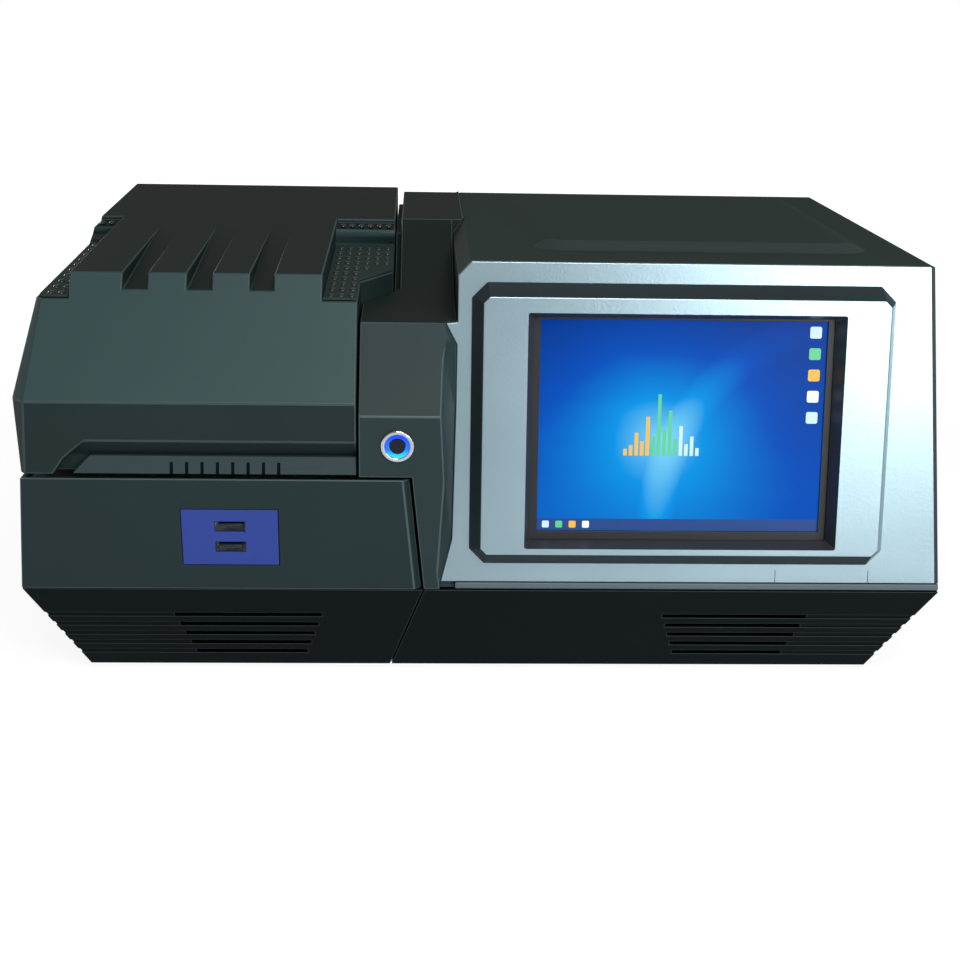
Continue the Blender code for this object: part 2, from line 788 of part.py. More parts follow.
def build_body(root):
    """Build the lower left body with its service panel, deck and stage."""
    levels = ((BASE_HEIGHT, 0.0), (RIM_RISE, 0.0), (RIM_RISE, WALL), (BASE_HEIGHT, WALL))
    shell = bridged([body_plan(rise, inset) for rise, inset in levels], True)
    body = add("left_body_shell", shell, ENAMEL, root)
    panel_x = HALF_WIDTH * PANEL_X_SHARE
    panel_z = BASE_HEIGHT + BODY_HEIGHT * PANEL_LIFT_SHARE
    window = rect(panel_x, panel_z, PANEL_WIDTH + 2 * FIT, PANEL_HEIGHT + 2 * FIT)
    shaped(body, leaned(chin_y, window, -OVERRUN, OVERRUN))
    face = rect(panel_x, panel_z, PANEL_WIDTH, PANEL_HEIGHT)
    panel = add("usb_panel", leaned(chin_y, face, PANEL_SINK, WALL), BLUE_PLASTIC, root)
    wide = SOCKET_WIDTH - 2 * SOCKET_WALL
    tall = SOCKET_HEIGHT - 2 * SOCKET_WALL
    middle = panel_z + SOCKET_LIFT
    stack = rect(panel_x, middle, SOCKET_WIDTH, SOCKET_PITCH + SOCKET_HEIGHT)
    start = WALL + FIT
    sockets = add("usb_sockets", leaned(chin_y, stack, start, start + SOCKET_DEPTH), STEEL, root)
    for lift in (-SOCKET_PITCH / 2, SOCKET_PITCH / 2):
        hole = rect(panel_x, middle + lift, wide, tall)
        shaped(panel, leaned(chin_y, hole, -OVERRUN, OVERRUN))
        shaped(sockets, leaned(chin_y, hole, -OVERRUN, SOCKET_DEPTH))
    inset = WALL + FIT
    deck_foot = DECK_TOP - DECK_PLATE
    plate = bridged([body_plan(deck_foot, inset), body_plan(DECK_TOP, inset)], False)
    deck = add("chamber_deck", plate, STEEL, root)
    bore = RING_RADIUS - WALL
    hole = disc(bore, deck_foot - OVERRUN, DECK_TOP + OVERRUN)
    shaped(deck, placed(hole, at(STAGE_X, STAGE_Y, 0.0)))
    here = at(STAGE_X, STAGE_Y, 0.0)
    top = STAGE_FOOT + STAGE_PLATE
    stage = tube(RING_RADIUS + FIT, STAGE_RADIUS, STAGE_FOOT, top, 2 * ROUND_STEPS)
    add("stage_plate", placed(stage, here), ALUMINIUM, root, True)
    ring = tube(WINDOW_RADIUS, RING_RADIUS, STAGE_FOOT, top + RING_PROUD)
    add("stage_ring", placed(ring, here), LEAD_GREY, root, True)
    film = disc(bore - FIT, DECK_TOP - FILM_THICK, DECK_TOP)
    add("window_film", placed(film, here), FILM_AMBER, root)
    grow = GASKET_WIDTH / 2
    low = STAGE_FOOT
    rings = [frame_plan(grow, low), frame_plan(grow, GASKET_TOP)]
    rings += [frame_plan(-grow, GASKET_TOP), frame_plan(-grow, low)]
    add("chamber_gasket", bridged(rings, True), RUBBER, root)


# hood
def lid_right_cutter(inset):
    """Return the solid beside the hood's stepped right edge."""
    slant = (LID_STEP_BACK - LID_STEP_FRONT) / (LID_REAR_RIGHT - LID_RIGHT)
    far = LID_REAR_RIGHT + OVERRUN
    near = LID_RIGHT - inset
    outline = [
        (near, -BODY_DEPTH),
        (near, LID_STEP_FRONT),
        (far, LID_STEP_FRONT + slant * (far - near)),
        (far, -BODY_DEPTH),
    ]
    return plan_prism(outline, 0.0, TOP_RISE + TOP_RISE)


def lid_trimmed(bm, inset):
    """Trim a solid by the hood's left side and its front corner."""
    foot_x = LID_SIDE_FOOT_SET - HALF_WIDTH
    crease_x = LID_SIDE_CREASE_SET - HALF_WIDTH
    top_x = LID_SIDE_TOP_SET - HALF_WIDTH
    front = chin_y(CREASE_RISE)
    corner = (crease_x + CORNER_CREASE, front, CREASE_RISE)
    corner_side = (crease_x, front + CORNER_CREASE_BACK, CREASE_RISE)
    corner_foot = (foot_x + CORNER_FOOT, chin_y(LID_FOOT_RISE), LID_FOOT_RISE)
    brow = CREASE_RISE + BROW_HEIGHT * CORNER_BROW_SHARE
    side_share = (brow - CREASE_RISE) / (LID_TOP_RISE - CREASE_RISE)
    brow_x = crease_x + (top_x - crease_x) * side_share + CORNER_BROW
    corner_brow = (brow_x, slope_y(brow), brow)
    foot_side = (foot_x, 0.0, LID_FOOT_RISE)
    inside = (LID_RIGHT, BODY_DEPTH / 2, CREASE_RISE)
    planes = (
        (foot_side, (crease_x, 0.0, CREASE_RISE), (crease_x, BODY_DEPTH, CREASE_RISE)),
        ((crease_x, 0.0, CREASE_RISE), (top_x, 0.0, LID_TOP_RISE), (top_x, BODY_DEPTH, LID_TOP_RISE)),
        (corner, corner_side, corner_brow),
        (corner, corner_side, corner_foot),
    )
    for first, second, third in planes:
        normal = facing(first, second, third, inside).normalized()
        bm = trimmed(bm, Vector(first) - normal * inset, normal)
    return bm


def lid_share_x(share):
    """Return the place across the hood's top at one share of its width."""
    return LID_TOP_LEFT + LID_SPAN * share


def grip_outline(lower):
    """Return the (y, z) outline above a grip recess floor that is lowered."""
    front = slope_y(BROW_RISE - GRIP_DROP)
    front_z = BROW_RISE - GRIP_DROP
    end = BROW_SET + GRIP_RUN
    end_z = lid_top(end) - GRIP_END_DROP - LID_POCKET_MARGIN + PAD_THICK
    slant = (end_z - front_z) / (end - front)
    outline = [(front - OVERRUN, front_z - slant * OVERRUN - lower), (end, end_z - lower)]
    for run, climb in zip(GRIP_WALL_RUN_SHARES, GRIP_WALL_RISE_SHARES):
        outline.append((end + GRIP_WALL_RUN * run, end_z + GRIP_WALL_HEIGHT * climb))
    shelf = end + GRIP_WALL_RUN + GRIP_SHELF
    outline.append((shelf, end_z + GRIP_WALL_HEIGHT + GRIP_SHELF_LIFT))
    outline.append((shelf, LID_TOP_RISE + OVERRUN))
    outline.append((front - OVERRUN, LID_TOP_RISE + OVERRUN))
    return outline


def handle_section():
    """Return the (y, z) outline of the handle recess."""
    top = LID_FOOT_RISE + HANDLE_HEIGHT
    ceiling = top - HANDLE_CEILING_DROP
    slant = HANDLE_CEILING_DROP / HANDLE_DEPTH
    foot = LID_FOOT_RISE - OVERRUN
    return [
        (chin_y(top) - OVERRUN, top + slant * OVERRUN),
        (chin_y(top), top),
        (chin_y(ceiling) + HANDLE_DEPTH, ceiling),
        (chin_y(foot) + HANDLE_DEPTH, foot),
        (chin_y(foot) - OVERRUN, foot),
    ]


def end_trimmed(bm, foot, middle, top, share, height):
    """Trim the slanted left end of the handle recess or its insert."""
    points = []
    for reach, rise in ((foot, 0.0), (middle, share), (top, 1.0)):
        points.append((LID_SIDE_FOOT_SET + reach - HALF_WIDTH, LID_FOOT_RISE + height * rise))
    inside = (LID_RIGHT, 0.0, LID_FOOT_RISE)
    for start, end in zip(points, points[1:]):
        first = (start[0], 0.0, start[1])
        second = (end[0], 0.0, end[1])
        third = (start[0], BODY_DEPTH, start[1])
        bm = trimmed(bm, first, facing(first, second, third, inside))
    return bm


def build_hood(lid):
    """Build the hood shell, its liner, grip pads and handle insert."""
    back = BODY_DEPTH
    outer = [
        (chin_y(LID_FOOT_RISE), LID_FOOT_RISE),
        (chin_y(CREASE_RISE), CREASE_RISE),
        (BROW_SET, BROW_RISE),
        (back, LID_TOP_RISE),
        (back, LID_FOOT_RISE),
    ]
    far = -HALF_WIDTH - OVERRUN
    hood = add("lid_shell", lid_trimmed(profile_prism(outer, far, LID_REAR_RIGHT), 0.0), ENAMEL, lid)
    shaped(hood, lid_right_cutter(0.0))
    groove_foot = BROW_RISE - GROOVE_DROP
    start = slope_y(groove_foot)
    end = BROW_SET + GROOVE_RUN
    climb = (lid_top(end) - groove_foot) / (end - start)
    groove = [
        (start - OVERRUN, groove_foot - climb * OVERRUN),
        (end + OVERRUN, lid_top(end) + climb * OVERRUN),
        (end + OVERRUN, LID_TOP_RISE + OVERRUN),
        (start - OVERRUN, LID_TOP_RISE + OVERRUN),
    ]
    cutters = []
    for left, right in GROOVE_SHARES:
        cutters.append(profile_prism(groove, lid_share_x(left), lid_share_x(right)))
    left_grip = lid_share_x(LEFT_GRIP_SHARE)
    right_grip = lid_share_x(RIGHT_GRIP_SHARE)
    recess = grip_outline(PAD_THICK + FIT)
    cutters.append(profile_prism(recess, far, left_grip))
    cutters.append(profile_prism(recess, right_grip, LID_REAR_RIGHT + OVERRUN))
    shaped(hood, together(*cutters))
    handle = profile_prism(handle_section(), far, LID_REAR_RIGHT + OVERRUN)
    ends = (HANDLE_END_FOOT, HANDLE_END_MIDDLE, HANDLE_END_TOP, HANDLE_END_SHARE, HANDLE_HEIGHT)
    shaped(hood, end_trimmed(handle, *ends))
    ceiling = BROW_RISE - LID_CEILING
    lean = WALL * SLOPE_WALL_SHARE
    handle_top = LID_FOOT_RISE + HANDLE_HEIGHT + WALL
    inner_back = back - WALL
    inner = [
        (chin_y(LID_FOOT_RISE - OVERRUN) + HANDLE_DEPTH + WALL, LID_FOOT_RISE - OVERRUN),
        (chin_y(handle_top) + HANDLE_DEPTH + WALL, handle_top - HANDLE_CEILING_DROP),
        (chin_y(handle_top) + WALL, handle_top),
        (chin_y(CREASE_RISE) + lean, CREASE_RISE),
        (slope_y(ceiling) + lean, ceiling),
        (inner_back, ceiling),
        (inner_back, LID_FOOT_RISE - OVERRUN),
    ]
    shaped(hood, lid_trimmed(profile_prism(inner, far, LID_RIGHT - WALL), WALL))
    pocket_z = groove_foot - LID_POCKET_MARGIN
    pocket = [
        (slope_y(ceiling) + 2 * lean, ceiling - WALL),
        (slope_y(pocket_z) + 2 * lean, pocket_z),
        (end, lid_top(end) - LID_POCKET_MARGIN),
        (inner_back, LID_TOP_RISE - LID_POCKET_MARGIN),
        (inner_back, ceiling - WALL),
    ]
    shaped(hood, profile_prism(pocket, left_grip + WALL, right_grip - WALL))
    pads = (("grip_pad_left", far, left_grip - FIT), ("grip_pad_right", right_grip + FIT, LID_REAR_RIGHT))
    floor = recess[:2]
    slant = (floor[1][1] - floor[0][1]) / (floor[1][0] - floor[0][0])
    pad_start = slope_y(BROW_RISE - GRIP_DROP) + PAD_THICK
    pad_end = floor[1][0] - PAD_THICK
    pad_z = floor[0][1] + slant * (pad_start - floor[0][0]) + FIT
    pad_end_z = pad_z + slant * (pad_end - pad_start)
    section = [
        (pad_start, pad_z),
        (pad_end, pad_end_z),
        (pad_end, pad_end_z + PAD_THICK),
        (pad_start, pad_z + PAD_THICK),
    ]
    for name, left, right in pads:
        solid = lid_trimmed(profile_prism(section, left, right - FIT), PAD_THICK)
        pad = add(name, solid, BLACK_PLASTIC, lid)
        shaped(pad, lid_right_cutter(PAD_THICK / 2))
    sinks = ((0.0, INSERT_SINK_FOOT), (1.0, INSERT_SINK_TOP))
    foot = LID_FOOT_RISE + INSERT_LIFT
    front = [(chin_y(foot + INSERT_HEIGHT * k) + sink, foot + INSERT_HEIGHT * k) for k, sink in sinks]
    top = foot + INSERT_HEIGHT
    behind = HANDLE_DEPTH - FIT
    section = front + [(chin_y(top) + behind, top), (chin_y(foot) + behind, foot)]
    solid = profile_prism(section, far, LID_RIGHT - FIT)
    ends = (INSERT_END_FOOT, INSERT_END_MIDDLE, INSERT_END_TOP, INSERT_END_SHARE, INSERT_HEIGHT)
    insert = add("handle_insert", end_trimmed(solid, *ends), GREY_PLASTIC, lid)
    slots = []
    for index in range(INSERT_SLOTS):
        share = index / (INSERT_SLOTS - 1)
        span = INSERT_SLOT_LAST_SHARE - INSERT_SLOT_FIRST_SHARE
        x = lid_share_x(INSERT_SLOT_FIRST_SHARE + span * share)
        low = (x - INSERT_SLOT_WIDTH / 2, chin_y(top) - OVERRUN, foot - OVERRUN)
        deep = chin_y(foot) + INSERT_SINK_FOOT + INSERT_SLOT_DEPTH
        high = (x + INSERT_SLOT_WIDTH / 2, deep, foot + INSERT_HEIGHT * INSERT_SLOT_SHARE)
        slots.append(block(low, high))
    shaped(insert, together(*slots))
    liner_top = ceiling - FIT
    low = (LINER_LEFT, LINER_FRONT_SET, LINER_FOOT)
    liner = add("lid_liner", block(low, (LINER_RIGHT, LINER_BACK, liner_top)), STEEL, lid)
    low = (LINER_LEFT + LINER_WALL, LINER_FRONT_SET + LINER_WALL, LINER_FOOT - OVERRUN)
    high = (LINER_RIGHT - LINER_WALL, LINER_BACK - LINER_WALL, liner_top - LINER_WALL)
    shaped(liner, block(low, high))


# centre column and its push button
def column_front(rise):
    """Return the depth of the column's front face at one height."""
    if rise <= COLUMN_CREASE_RISE:
        return chin_y(rise)
    share = (rise - COLUMN_CREASE_RISE) / (SHOULDER_RISE - COLUMN_CREASE_RISE)
    crease = chin_y(COLUMN_CREASE_RISE)
    return crease + (SHOULDER_SET - crease) * share


def ramp_rise(y):
    """Return the height of the column's hollow ramp at one depth."""
    start_z = SHOULDER_RISE + RAMP_START_LIFT
    share = min(1.0, (y - RAMP_START_SET) / (RAMP_END_SET - RAMP_START_SET))
    return start_z + (TOP_RISE - start_z) * share ** 2


def ramp_points(drop, start=RAMP_START_SET):
    """Return the (y, z) points of the ramp from one depth on, lowered by a wall."""
    points = []
    for index in range(RAMP_STEPS + 1):
        y = start + (RAMP_END_SET - start) * index / RAMP_STEPS
        points.append((y, ramp_rise(y) - drop))
    return points


def ledge():
    """Return the ledge that closes the gap beside the hood from below."""
    upper = ramp_points(LEDGE_DROP, COLUMN_STEP_BACK + LEDGE_INSET)
    upper.append((BODY_DEPTH, TOP_RISE - LEDGE_DROP))
    lower = [(y, rise - LEDGE_HEIGHT) for y, rise in reversed(upper)]
    left = COLUMN_REAR_LEFT - LID_GAP_REAR + LEDGE_CLEAR
    return profile_prism(upper + lower, left, COLUMN_REAR_LEFT + WALL / 2)


def valley_fill():
    """Return the wedge that carries the column's top onto the housing's bevel."""
    foot = TOP_RISE - HOUSING_BEVEL_Z
    climb = (foot - SHOULDER_RISE - RAMP_START_LIFT) / (TOP_RISE - SHOULDER_RISE - RAMP_START_LIFT)
    start = RAMP_START_SET + (RAMP_END_SET - RAMP_START_SET) * climb ** 0.5
    outline = ramp_points(0.0, start) + [(BODY_DEPTH, TOP_RISE), (BODY_DEPTH, foot)]
    right = MODULE_SPLIT_X + HOUSING_BEVEL_X - WEDGE_EDGE
    solid = profile_prism(outline, STRIP_RIGHT - WALL / 2, right)
    bevel = Vector((-HOUSING_BEVEL_Z, 0.0, HOUSING_BEVEL_X)).normalized()
    return trimmed(solid, Vector((MODULE_SPLIT_X, 0.0, foot)) + bevel * FIT, -bevel)


def fascia_edge():
    """Return the (x, z) points of the fascia's left edge, from its foot up."""
    foot = BASE_HEIGHT + FASCIA_FOOT
    points = []
    for share, reach in zip(FASCIA_EDGE_LEVELS_SHARE, FASCIA_EDGE_REACH):
        points.append((MODULE_SPLIT_X - reach, foot + (TOP_RISE - foot) * share))
    return points


def facet_cutter():
    """Return the solid in front of the facet between column and fascia."""
    edge = fascia_edge()[:5]
    levels = [(edge[0][0], BASE_HEIGHT - OVERRUN)] + edge
    levels.append((edge[-1][0], edge[-1][1] + FASCIA_THICK / 2))
    rings = []
    for edge_x, rise in levels:
        side = edge_x - FIT
        front = fascia_y(rise)
        behind = front + FASCIA_THICK + FIT
        crease_y = column_front(rise)
        above = max(0.0, rise - COLUMN_CREASE_RISE) / (SHOULDER_RISE - COLUMN_CREASE_RISE)
        inset = FACET_INSET + (FACET_TOP_INSET - FACET_INSET) * min(1.0, above)
        crease_x = min(STRIP_RIGHT - inset, side - FIT)
        step = Vector((crease_x - side, min(crease_y - front, -FIT)))
        ahead = Vector((side, front)) + step + step.normalized() * OVERRUN
        far = STRIP_RIGHT + OVERRUN
        plan = [(far, behind), (side, behind), (side, front), tuple(ahead), (far, ahead.y)]
        rings.append([(x, y, rise) for x, y in plan])
    return bridged(rings, False)


def button_matrix():
    """Return the frame on the column's face whose Z points out of it."""
    rise = COLUMN_FOOT_RISE + BUTTON_LIFT
    return at(BUTTON_X, chin_y(rise), rise) @ Matrix.Rotation(pi / 2 + CHIN_LEAN, 4, "X")


def build_column(root):
    """Build the centre column's cover."""
    foot = BASE_HEIGHT + FIT
    back = BODY_DEPTH
    outline = [(chin_y(foot), foot), (chin_y(COLUMN_CREASE_RISE), COLUMN_CREASE_RISE)]
    outline += [(SHOULDER_SET, SHOULDER_RISE)] + ramp_points(0.0)
    outline += [(back, TOP_RISE), (back, foot)]
    cover = add("center_cover", profile_prism(outline, COLUMN_LEFT, STRIP_RIGHT), ENAMEL, root)
    low = BASE_HEIGHT - OVERRUN
    far = COLUMN_LEFT - OVERRUN
    outline = [
        (far, low),
        (strip_left(low), low),
        (strip_left(COLUMN_FOOT_RISE), COLUMN_FOOT_RISE),
        (far, COLUMN_FOOT_RISE),
    ]
    shaped(cover, front_prism(outline, -BODY_DEPTH, back + OVERRUN))
    outline = [
        (far, COLUMN_STEP_FRONT - (COLUMN_STEP_BACK - COLUMN_STEP_FRONT) * OVERRUN
         / (COLUMN_REAR_LEFT - COLUMN_LEFT)),
        (COLUMN_REAR_LEFT, COLUMN_STEP_BACK),
        (COLUMN_REAR_LEFT, back + OVERRUN),
        (far, back + OVERRUN),
    ]
    shaped(cover, plan_prism(outline, low, TOP_RISE + OVERRUN))
    shaped(cover, facet_cutter())
    run = WALL * COLUMN_WALL_SHARE
    inner_foot = COLUMN_FOOT_RISE + WALL
    inner_top = SHOULDER_RISE - WALL
    front = [
        (column_front(inner_foot) + run, inner_foot),
        (column_front(COLUMN_CREASE_RISE) + run, COLUMN_CREASE_RISE),
        (column_front(inner_top) + run, inner_top),
    ]
    step = COLUMN_STEP_FRONT - WALL
    room = front + [(step, inner_top), (step, inner_foot)]
    shaped(cover, profile_prism(room, COLUMN_LEFT + WALL, STRIP_RIGHT - FACET_INSET - WALL))
    inner_back = back - WALL
    behind = FASCIA_THICK + WALL + 2 * FIT
    room = [(fascia_y(inner_foot) + behind, inner_foot), (fascia_y(inner_top) + behind, inner_top)]
    room += ramp_points(WALL) + [(inner_back, TOP_RISE - WALL), (inner_back, inner_foot)]
    shaped(cover, profile_prism(room, COLUMN_REAR_LEFT + WALL, STRIP_RIGHT + OVERRUN))
    rings = []
    for rise in (low, inner_foot + WALL):
        left = strip_left(rise) + WALL
        start = fascia_y(rise) + behind + WALL / 2
        right = STRIP_RIGHT + OVERRUN
        plan = [(left, start), (right, start), (right, inner_back), (left, inner_back)]
        rings.append([(x, y, rise) for x, y in plan])
    shaped(cover, bridged(rings, False))
    hole = disc(BARREL_RADIUS + FIT, -OVERRUN, OVERRUN)
    shaped(cover, placed(hole, button_matrix()))
    shaped(cover, together(ledge(), valley_fill()), "UNION")


def build_button(button):
    """Build the lit push button on its own frame and return its cap."""
    bezel = [
        (BARREL_BORE, BEZEL_HEIGHT - BEZEL_LIP),
        (BEZEL_CROWN_RADIUS, BEZEL_HEIGHT),
        (BEZEL_RADIUS, BEZEL_LIP),
        (BARREL_RADIUS, BEZEL_LIP),
        (BARREL_RADIUS, -BARREL_DEPTH),
        (CAP_BORE, -BARREL_DEPTH),
        (CAP_BORE, -RING_SEAT),
        (BARREL_BORE, -RING_SEAT),
    ]
    add("button_bezel", turned(bezel), CHROME, button, True)
    ring = tube(CAP_BORE + FIT, BARREL_BORE - FIT, FIT - RING_SEAT, LIGHT_HEIGHT)
    add("button_light_ring", ring, LIGHT_BLUE, button, True)
    top = -WALL * COLUMN_WALL_SHARE - FIT
    hole = disc(BARREL_RADIUS + FIT, top - NUT_HEIGHT - OVERRUN, top + OVERRUN)
    nut = disc(NUT_RADIUS, top - NUT_HEIGHT, top, NUT_SIDES)
    shaped(add("button_nut", nut, STEEL, button), hole)
    low = -BARREL_DEPTH - FIT
    block_low = low - TERMINAL_HEIGHT
    add("button_terminal_block", disc(TERMINAL_RADIUS, block_low, low), BLACK_PLASTIC, button, True)
    cap = disc(CAP_RADIUS, -CAP_DEPTH, CAP_HEIGHT)
    add("button_cap", cap, GREY_PLASTIC, button, True)


# display housing
def build_housing(root):
    """Build the display housing with its fascia and raised top panel."""
    foot = BASE_HEIGHT + FIT
    sill = BASE_HEIGHT + FASCIA_FOOT - FIT
    behind = FASCIA_THICK + FIT
    back = BODY_DEPTH
    far = HALF_WIDTH + OVERRUN
    outline = [
        (SILL_SET, foot),
        (SILL_SET, sill),
        (fascia_y(sill) + behind, sill),
        (fascia_y(TOP_RISE) + behind, TOP_RISE),
        (back, TOP_RISE),
        (back, foot),
    ]
    inner = [
        (fascia_y(foot - OVERRUN) + behind + WALL, foot - OVERRUN),
        (fascia_y(TOP_RISE - WALL) + behind + WALL, TOP_RISE - WALL),
        (back - WALL, TOP_RISE - WALL),
        (back - WALL, foot - OVERRUN),
    ]
    solids = []
    for section, left, inset in ((outline, MODULE_SPLIT_X, 0.0), (inner, MODULE_SPLIT_X + WALL, WALL)):
        solid = profile_prism(section, left, far)
        side = Vector((cos(SIDE_LEAN), 0.0, sin(SIDE_LEAN)))
        solid = trimmed(solid, Vector((HALF_WIDTH, 0.0, BASE_HEIGHT)) - side * inset, side)
        bevel = Vector((-HOUSING_BEVEL_Z, 0.0, HOUSING_BEVEL_X)).normalized()
        edge = Vector((MODULE_SPLIT_X, 0.0, TOP_RISE - HOUSING_BEVEL_Z))
        solids.append(trimmed(solid, edge - bevel * inset, bevel))
    housing = add("right_housing", solids[0], ENAMEL, root)
    shaped(housing, solids[1])
    shaped(housing, leaned(fascia_y, around_screen(WINDOW_BORDER), 0.0, behind + WALL + OVERRUN))
    low = (MODULE_SPLIT_X + REAR_OPENING_LEFT, back - OVERRUN, BASE_HEIGHT + REAR_OPENING_FOOT)
    high = (HALF_WIDTH - REAR_OPENING_RIGHT, back + OVERRUN, TOP_RISE - REAR_OPENING_TOP)
    shaped(housing, block(low, high))
    fascia_foot = BASE_HEIGHT + FASCIA_FOOT
    outline = [(side_x(fascia_foot), fascia_foot), (side_x(TOP_RISE), TOP_RISE)]
    outline += [(MODULE_SPLIT_X + FASCIA_CORNER, TOP_RISE)] + fascia_edge()[::-1]
    fascia = add("silver_fascia", leaned(fascia_y, outline, 0.0, FASCIA_THICK), SILVER, root)
    shaped(fascia, leaned(fascia_y, around_screen(MASK_BORDER, FIT), -OVERRUN, OVERRUN))
    left = MODULE_SPLIT_X + TOP_PANEL_LEFT
    right = side_x(TOP_RISE) - TOP_PANEL_RIGHT
    rings = []
    for rise, side, ahead in (
        (TOP_RISE + FIT, 0.0, 0.0),
        (TOP_RISE + TOP_PANEL_HEIGHT, TOP_PANEL_SLOPE, TOP_PANEL_FRONT_SLOPE),
    ):
        front = TOP_PANEL_FRONT + ahead
        corner = TOP_PANEL_FRONT + TOP_PANEL_CUT_Y + ahead
        rear = back - TOP_PANEL_BACK - side
        plan = [
            (left + TOP_PANEL_CUT_X + side, front),
            (right - TOP_PANEL_CUT_X - side, front),
            (right - side, corner),
            (right - side, rear),
            (left + side, rear),
            (left + side, corner),
        ]
        rings.append([(x, y, rise) for x, y in plan])
    add("top_panel", bridged(rings, False), ENAMEL, root)


def screen_octagon(border, top, foot, cut):
    """Return the outline that lies round the screen by three borders."""
    half = SCREEN_WIDTH / 2 + border
    low = SCREEN_RISE - SCREEN_HEIGHT / 2 - foot
    high = SCREEN_RISE + SCREEN_HEIGHT / 2 + top
    return octagon(SCREEN_X - half, SCREEN_X + half, low, high, cut)


def build_display(root):
    """Build the screen bezel, mask, glass, cell and tray."""
    left = MODULE_SPLIT_X + SCREEN_FRAME_LEFT_MARGIN
    right = HALF_WIDTH - SCREEN_FRAME_RIGHT_MARGIN
    foot = BASE_HEIGHT + SCREEN_FRAME_FOOT_MARGIN
    top = TOP_RISE - SCREEN_FRAME_TOP_MARGIN
    outer = octagon(left, right, foot, top, SCREEN_FRAME_CUT)
    face = octagon(left + FACE_LEFT_INSET, right - FACE_RIGHT_INSET, foot + FACE_FOOT_INSET,
                   top - FACE_TOP_INSET, FACE_CUT)
    opening = screen_octagon(OPENING_BORDER, OPENING_TOP_BORDER, OPENING_FOOT_BORDER, THROAT_CUT)
    inner = screen_octagon(THROAT_BORDER, THROAT_TOP_BORDER, THROAT_FOOT_BORDER, THROAT_CUT)
    rise = SCREEN_FRAME_RISE
    sections = ((outer, -FIT), (face, -rise), (opening, -rise), (inner, -FIT))
    add("screen_bezel", leaned_frame(fascia_y, sections), SILVER, root)
    mask = around_screen(MASK_BORDER)
    hole = around_screen((0.0, 0.0))
    back = FASCIA_THICK
    sections = ((mask, MASK_SINK), (mask, back), (hole, back), (hole, MASK_SINK))
    add("screen_mask", leaned_frame(fascia_y, sections), BLACK_PLASTIC, root)
    start = back + FIT
    glass = leaned(fascia_y, around_screen(GLASS_BORDER), start, start + GLASS_THICK)
    add("display_glass", glass, CLEAR_GLASS, root)
    start += GLASS_THICK + FIT
    end = start + CELL_THICK
    cell = leaned(fascia_y, around_screen(CELL_BORDER), start, end)
    add("display_panel", cell, SCREEN_BLUE, root)
    near = back + WALL + 2 * FIT
    solid = leaned(fascia_y, around_screen(CELL_BORDER, TRAY_RIM), near, end + FIT + TRAY_FLOOR)
    tray = add("display_tray", solid, STEEL, root)
    shaped(tray, leaned(fascia_y, around_screen(CELL_BORDER, FIT), 0.0, end + FIT))


# hinges of the hood
def hinge_axis():
    """Return the hood's hinge axis as (y, z)."""
    return BODY_DEPTH + FIT + KNUCKLE_RADIUS, (RIM_RISE + LID_FOOT_RISE) / 2


def knuckle_outline(side):
    """Return the (y, z) outline of a knuckle whose tab runs up or down."""
    axis_y, axis_z = hinge_axis()
    reach = KNUCKLE_RADIUS + KNUCKLE_CLEAR + LEAF_THICK
    touch = (KNUCKLE_RADIUS - LEAF_THICK) / KNUCKLE_RADIUS
    sweep = 2 * pi - acos(touch)
    points = [(axis_y - KNUCKLE_RADIUS, axis_z + side * reach)]
    for index in range(ROUND_STEPS + 1):
        angle = pi - sweep * index / ROUND_STEPS
        y = axis_y + KNUCKLE_RADIUS * cos(angle)
        points.append((y, axis_z - side * KNUCKLE_RADIUS * sin(angle)))
    points.append((points[-1][0], axis_z + side * reach))
    return points


def build_hinges(root, lid):
    """Build leaves, pins and screws of both hinges."""
    axis_y, axis_z = hinge_axis()
    half = HINGE_LENGTH / 2
    third = HINGE_LENGTH / 6
    clear = KNUCKLE_CLEAR / 2
    outer = ((-half, -third - clear), (third + clear, half))
    middle = ((-third + clear, third - clear),)
    for share, hand in zip(HINGE_SHARES, ("left", "right")):
        x = HALF_WIDTH * share
        pin = disc(PIN_RADIUS, -half, half, SMALL_STEPS)
        add("hinge_pin_" + hand, placed(pin, along_x(x, axis_y, axis_z)), STEEL, root, True)
        for name, side, spans, parent in (
            ("body_leaf_" + hand, -1, outer, root),
            ("lid_leaf_" + hand, 1, middle, lid),
        ):
            near = axis_z + side * (KNUCKLE_RADIUS + KNUCKLE_CLEAR)
            far = near + side * LEAF_HEIGHT
            low = (x - half, BODY_DEPTH + FIT, min(near, far))
            high = (x + half, BODY_DEPTH + FIT + LEAF_THICK, max(near, far))
            leaf = add(name, block(low, high), STEEL, parent)
            knuckles = []
            for left, right in spans:
                knuckles.append(profile_prism(knuckle_outline(side), x + left, x + right))
            shaped(leaf, together(*knuckles), "UNION")
            bore = disc(PIN_RADIUS + FIT, -half - OVERRUN, half + OVERRUN, SMALL_STEPS)
            shaped(leaf, placed(bore, along_x(x, axis_y, axis_z)))


# rear panel
def rear_bounds():
    """Return the rear opening's left, right, foot and top."""
    left = MODULE_SPLIT_X + REAR_OPENING_LEFT
    right = HALF_WIDTH - REAR_OPENING_RIGHT
    return left, right, BASE_HEIGHT + REAR_OPENING_FOOT, TOP_RISE - REAR_OPENING_TOP


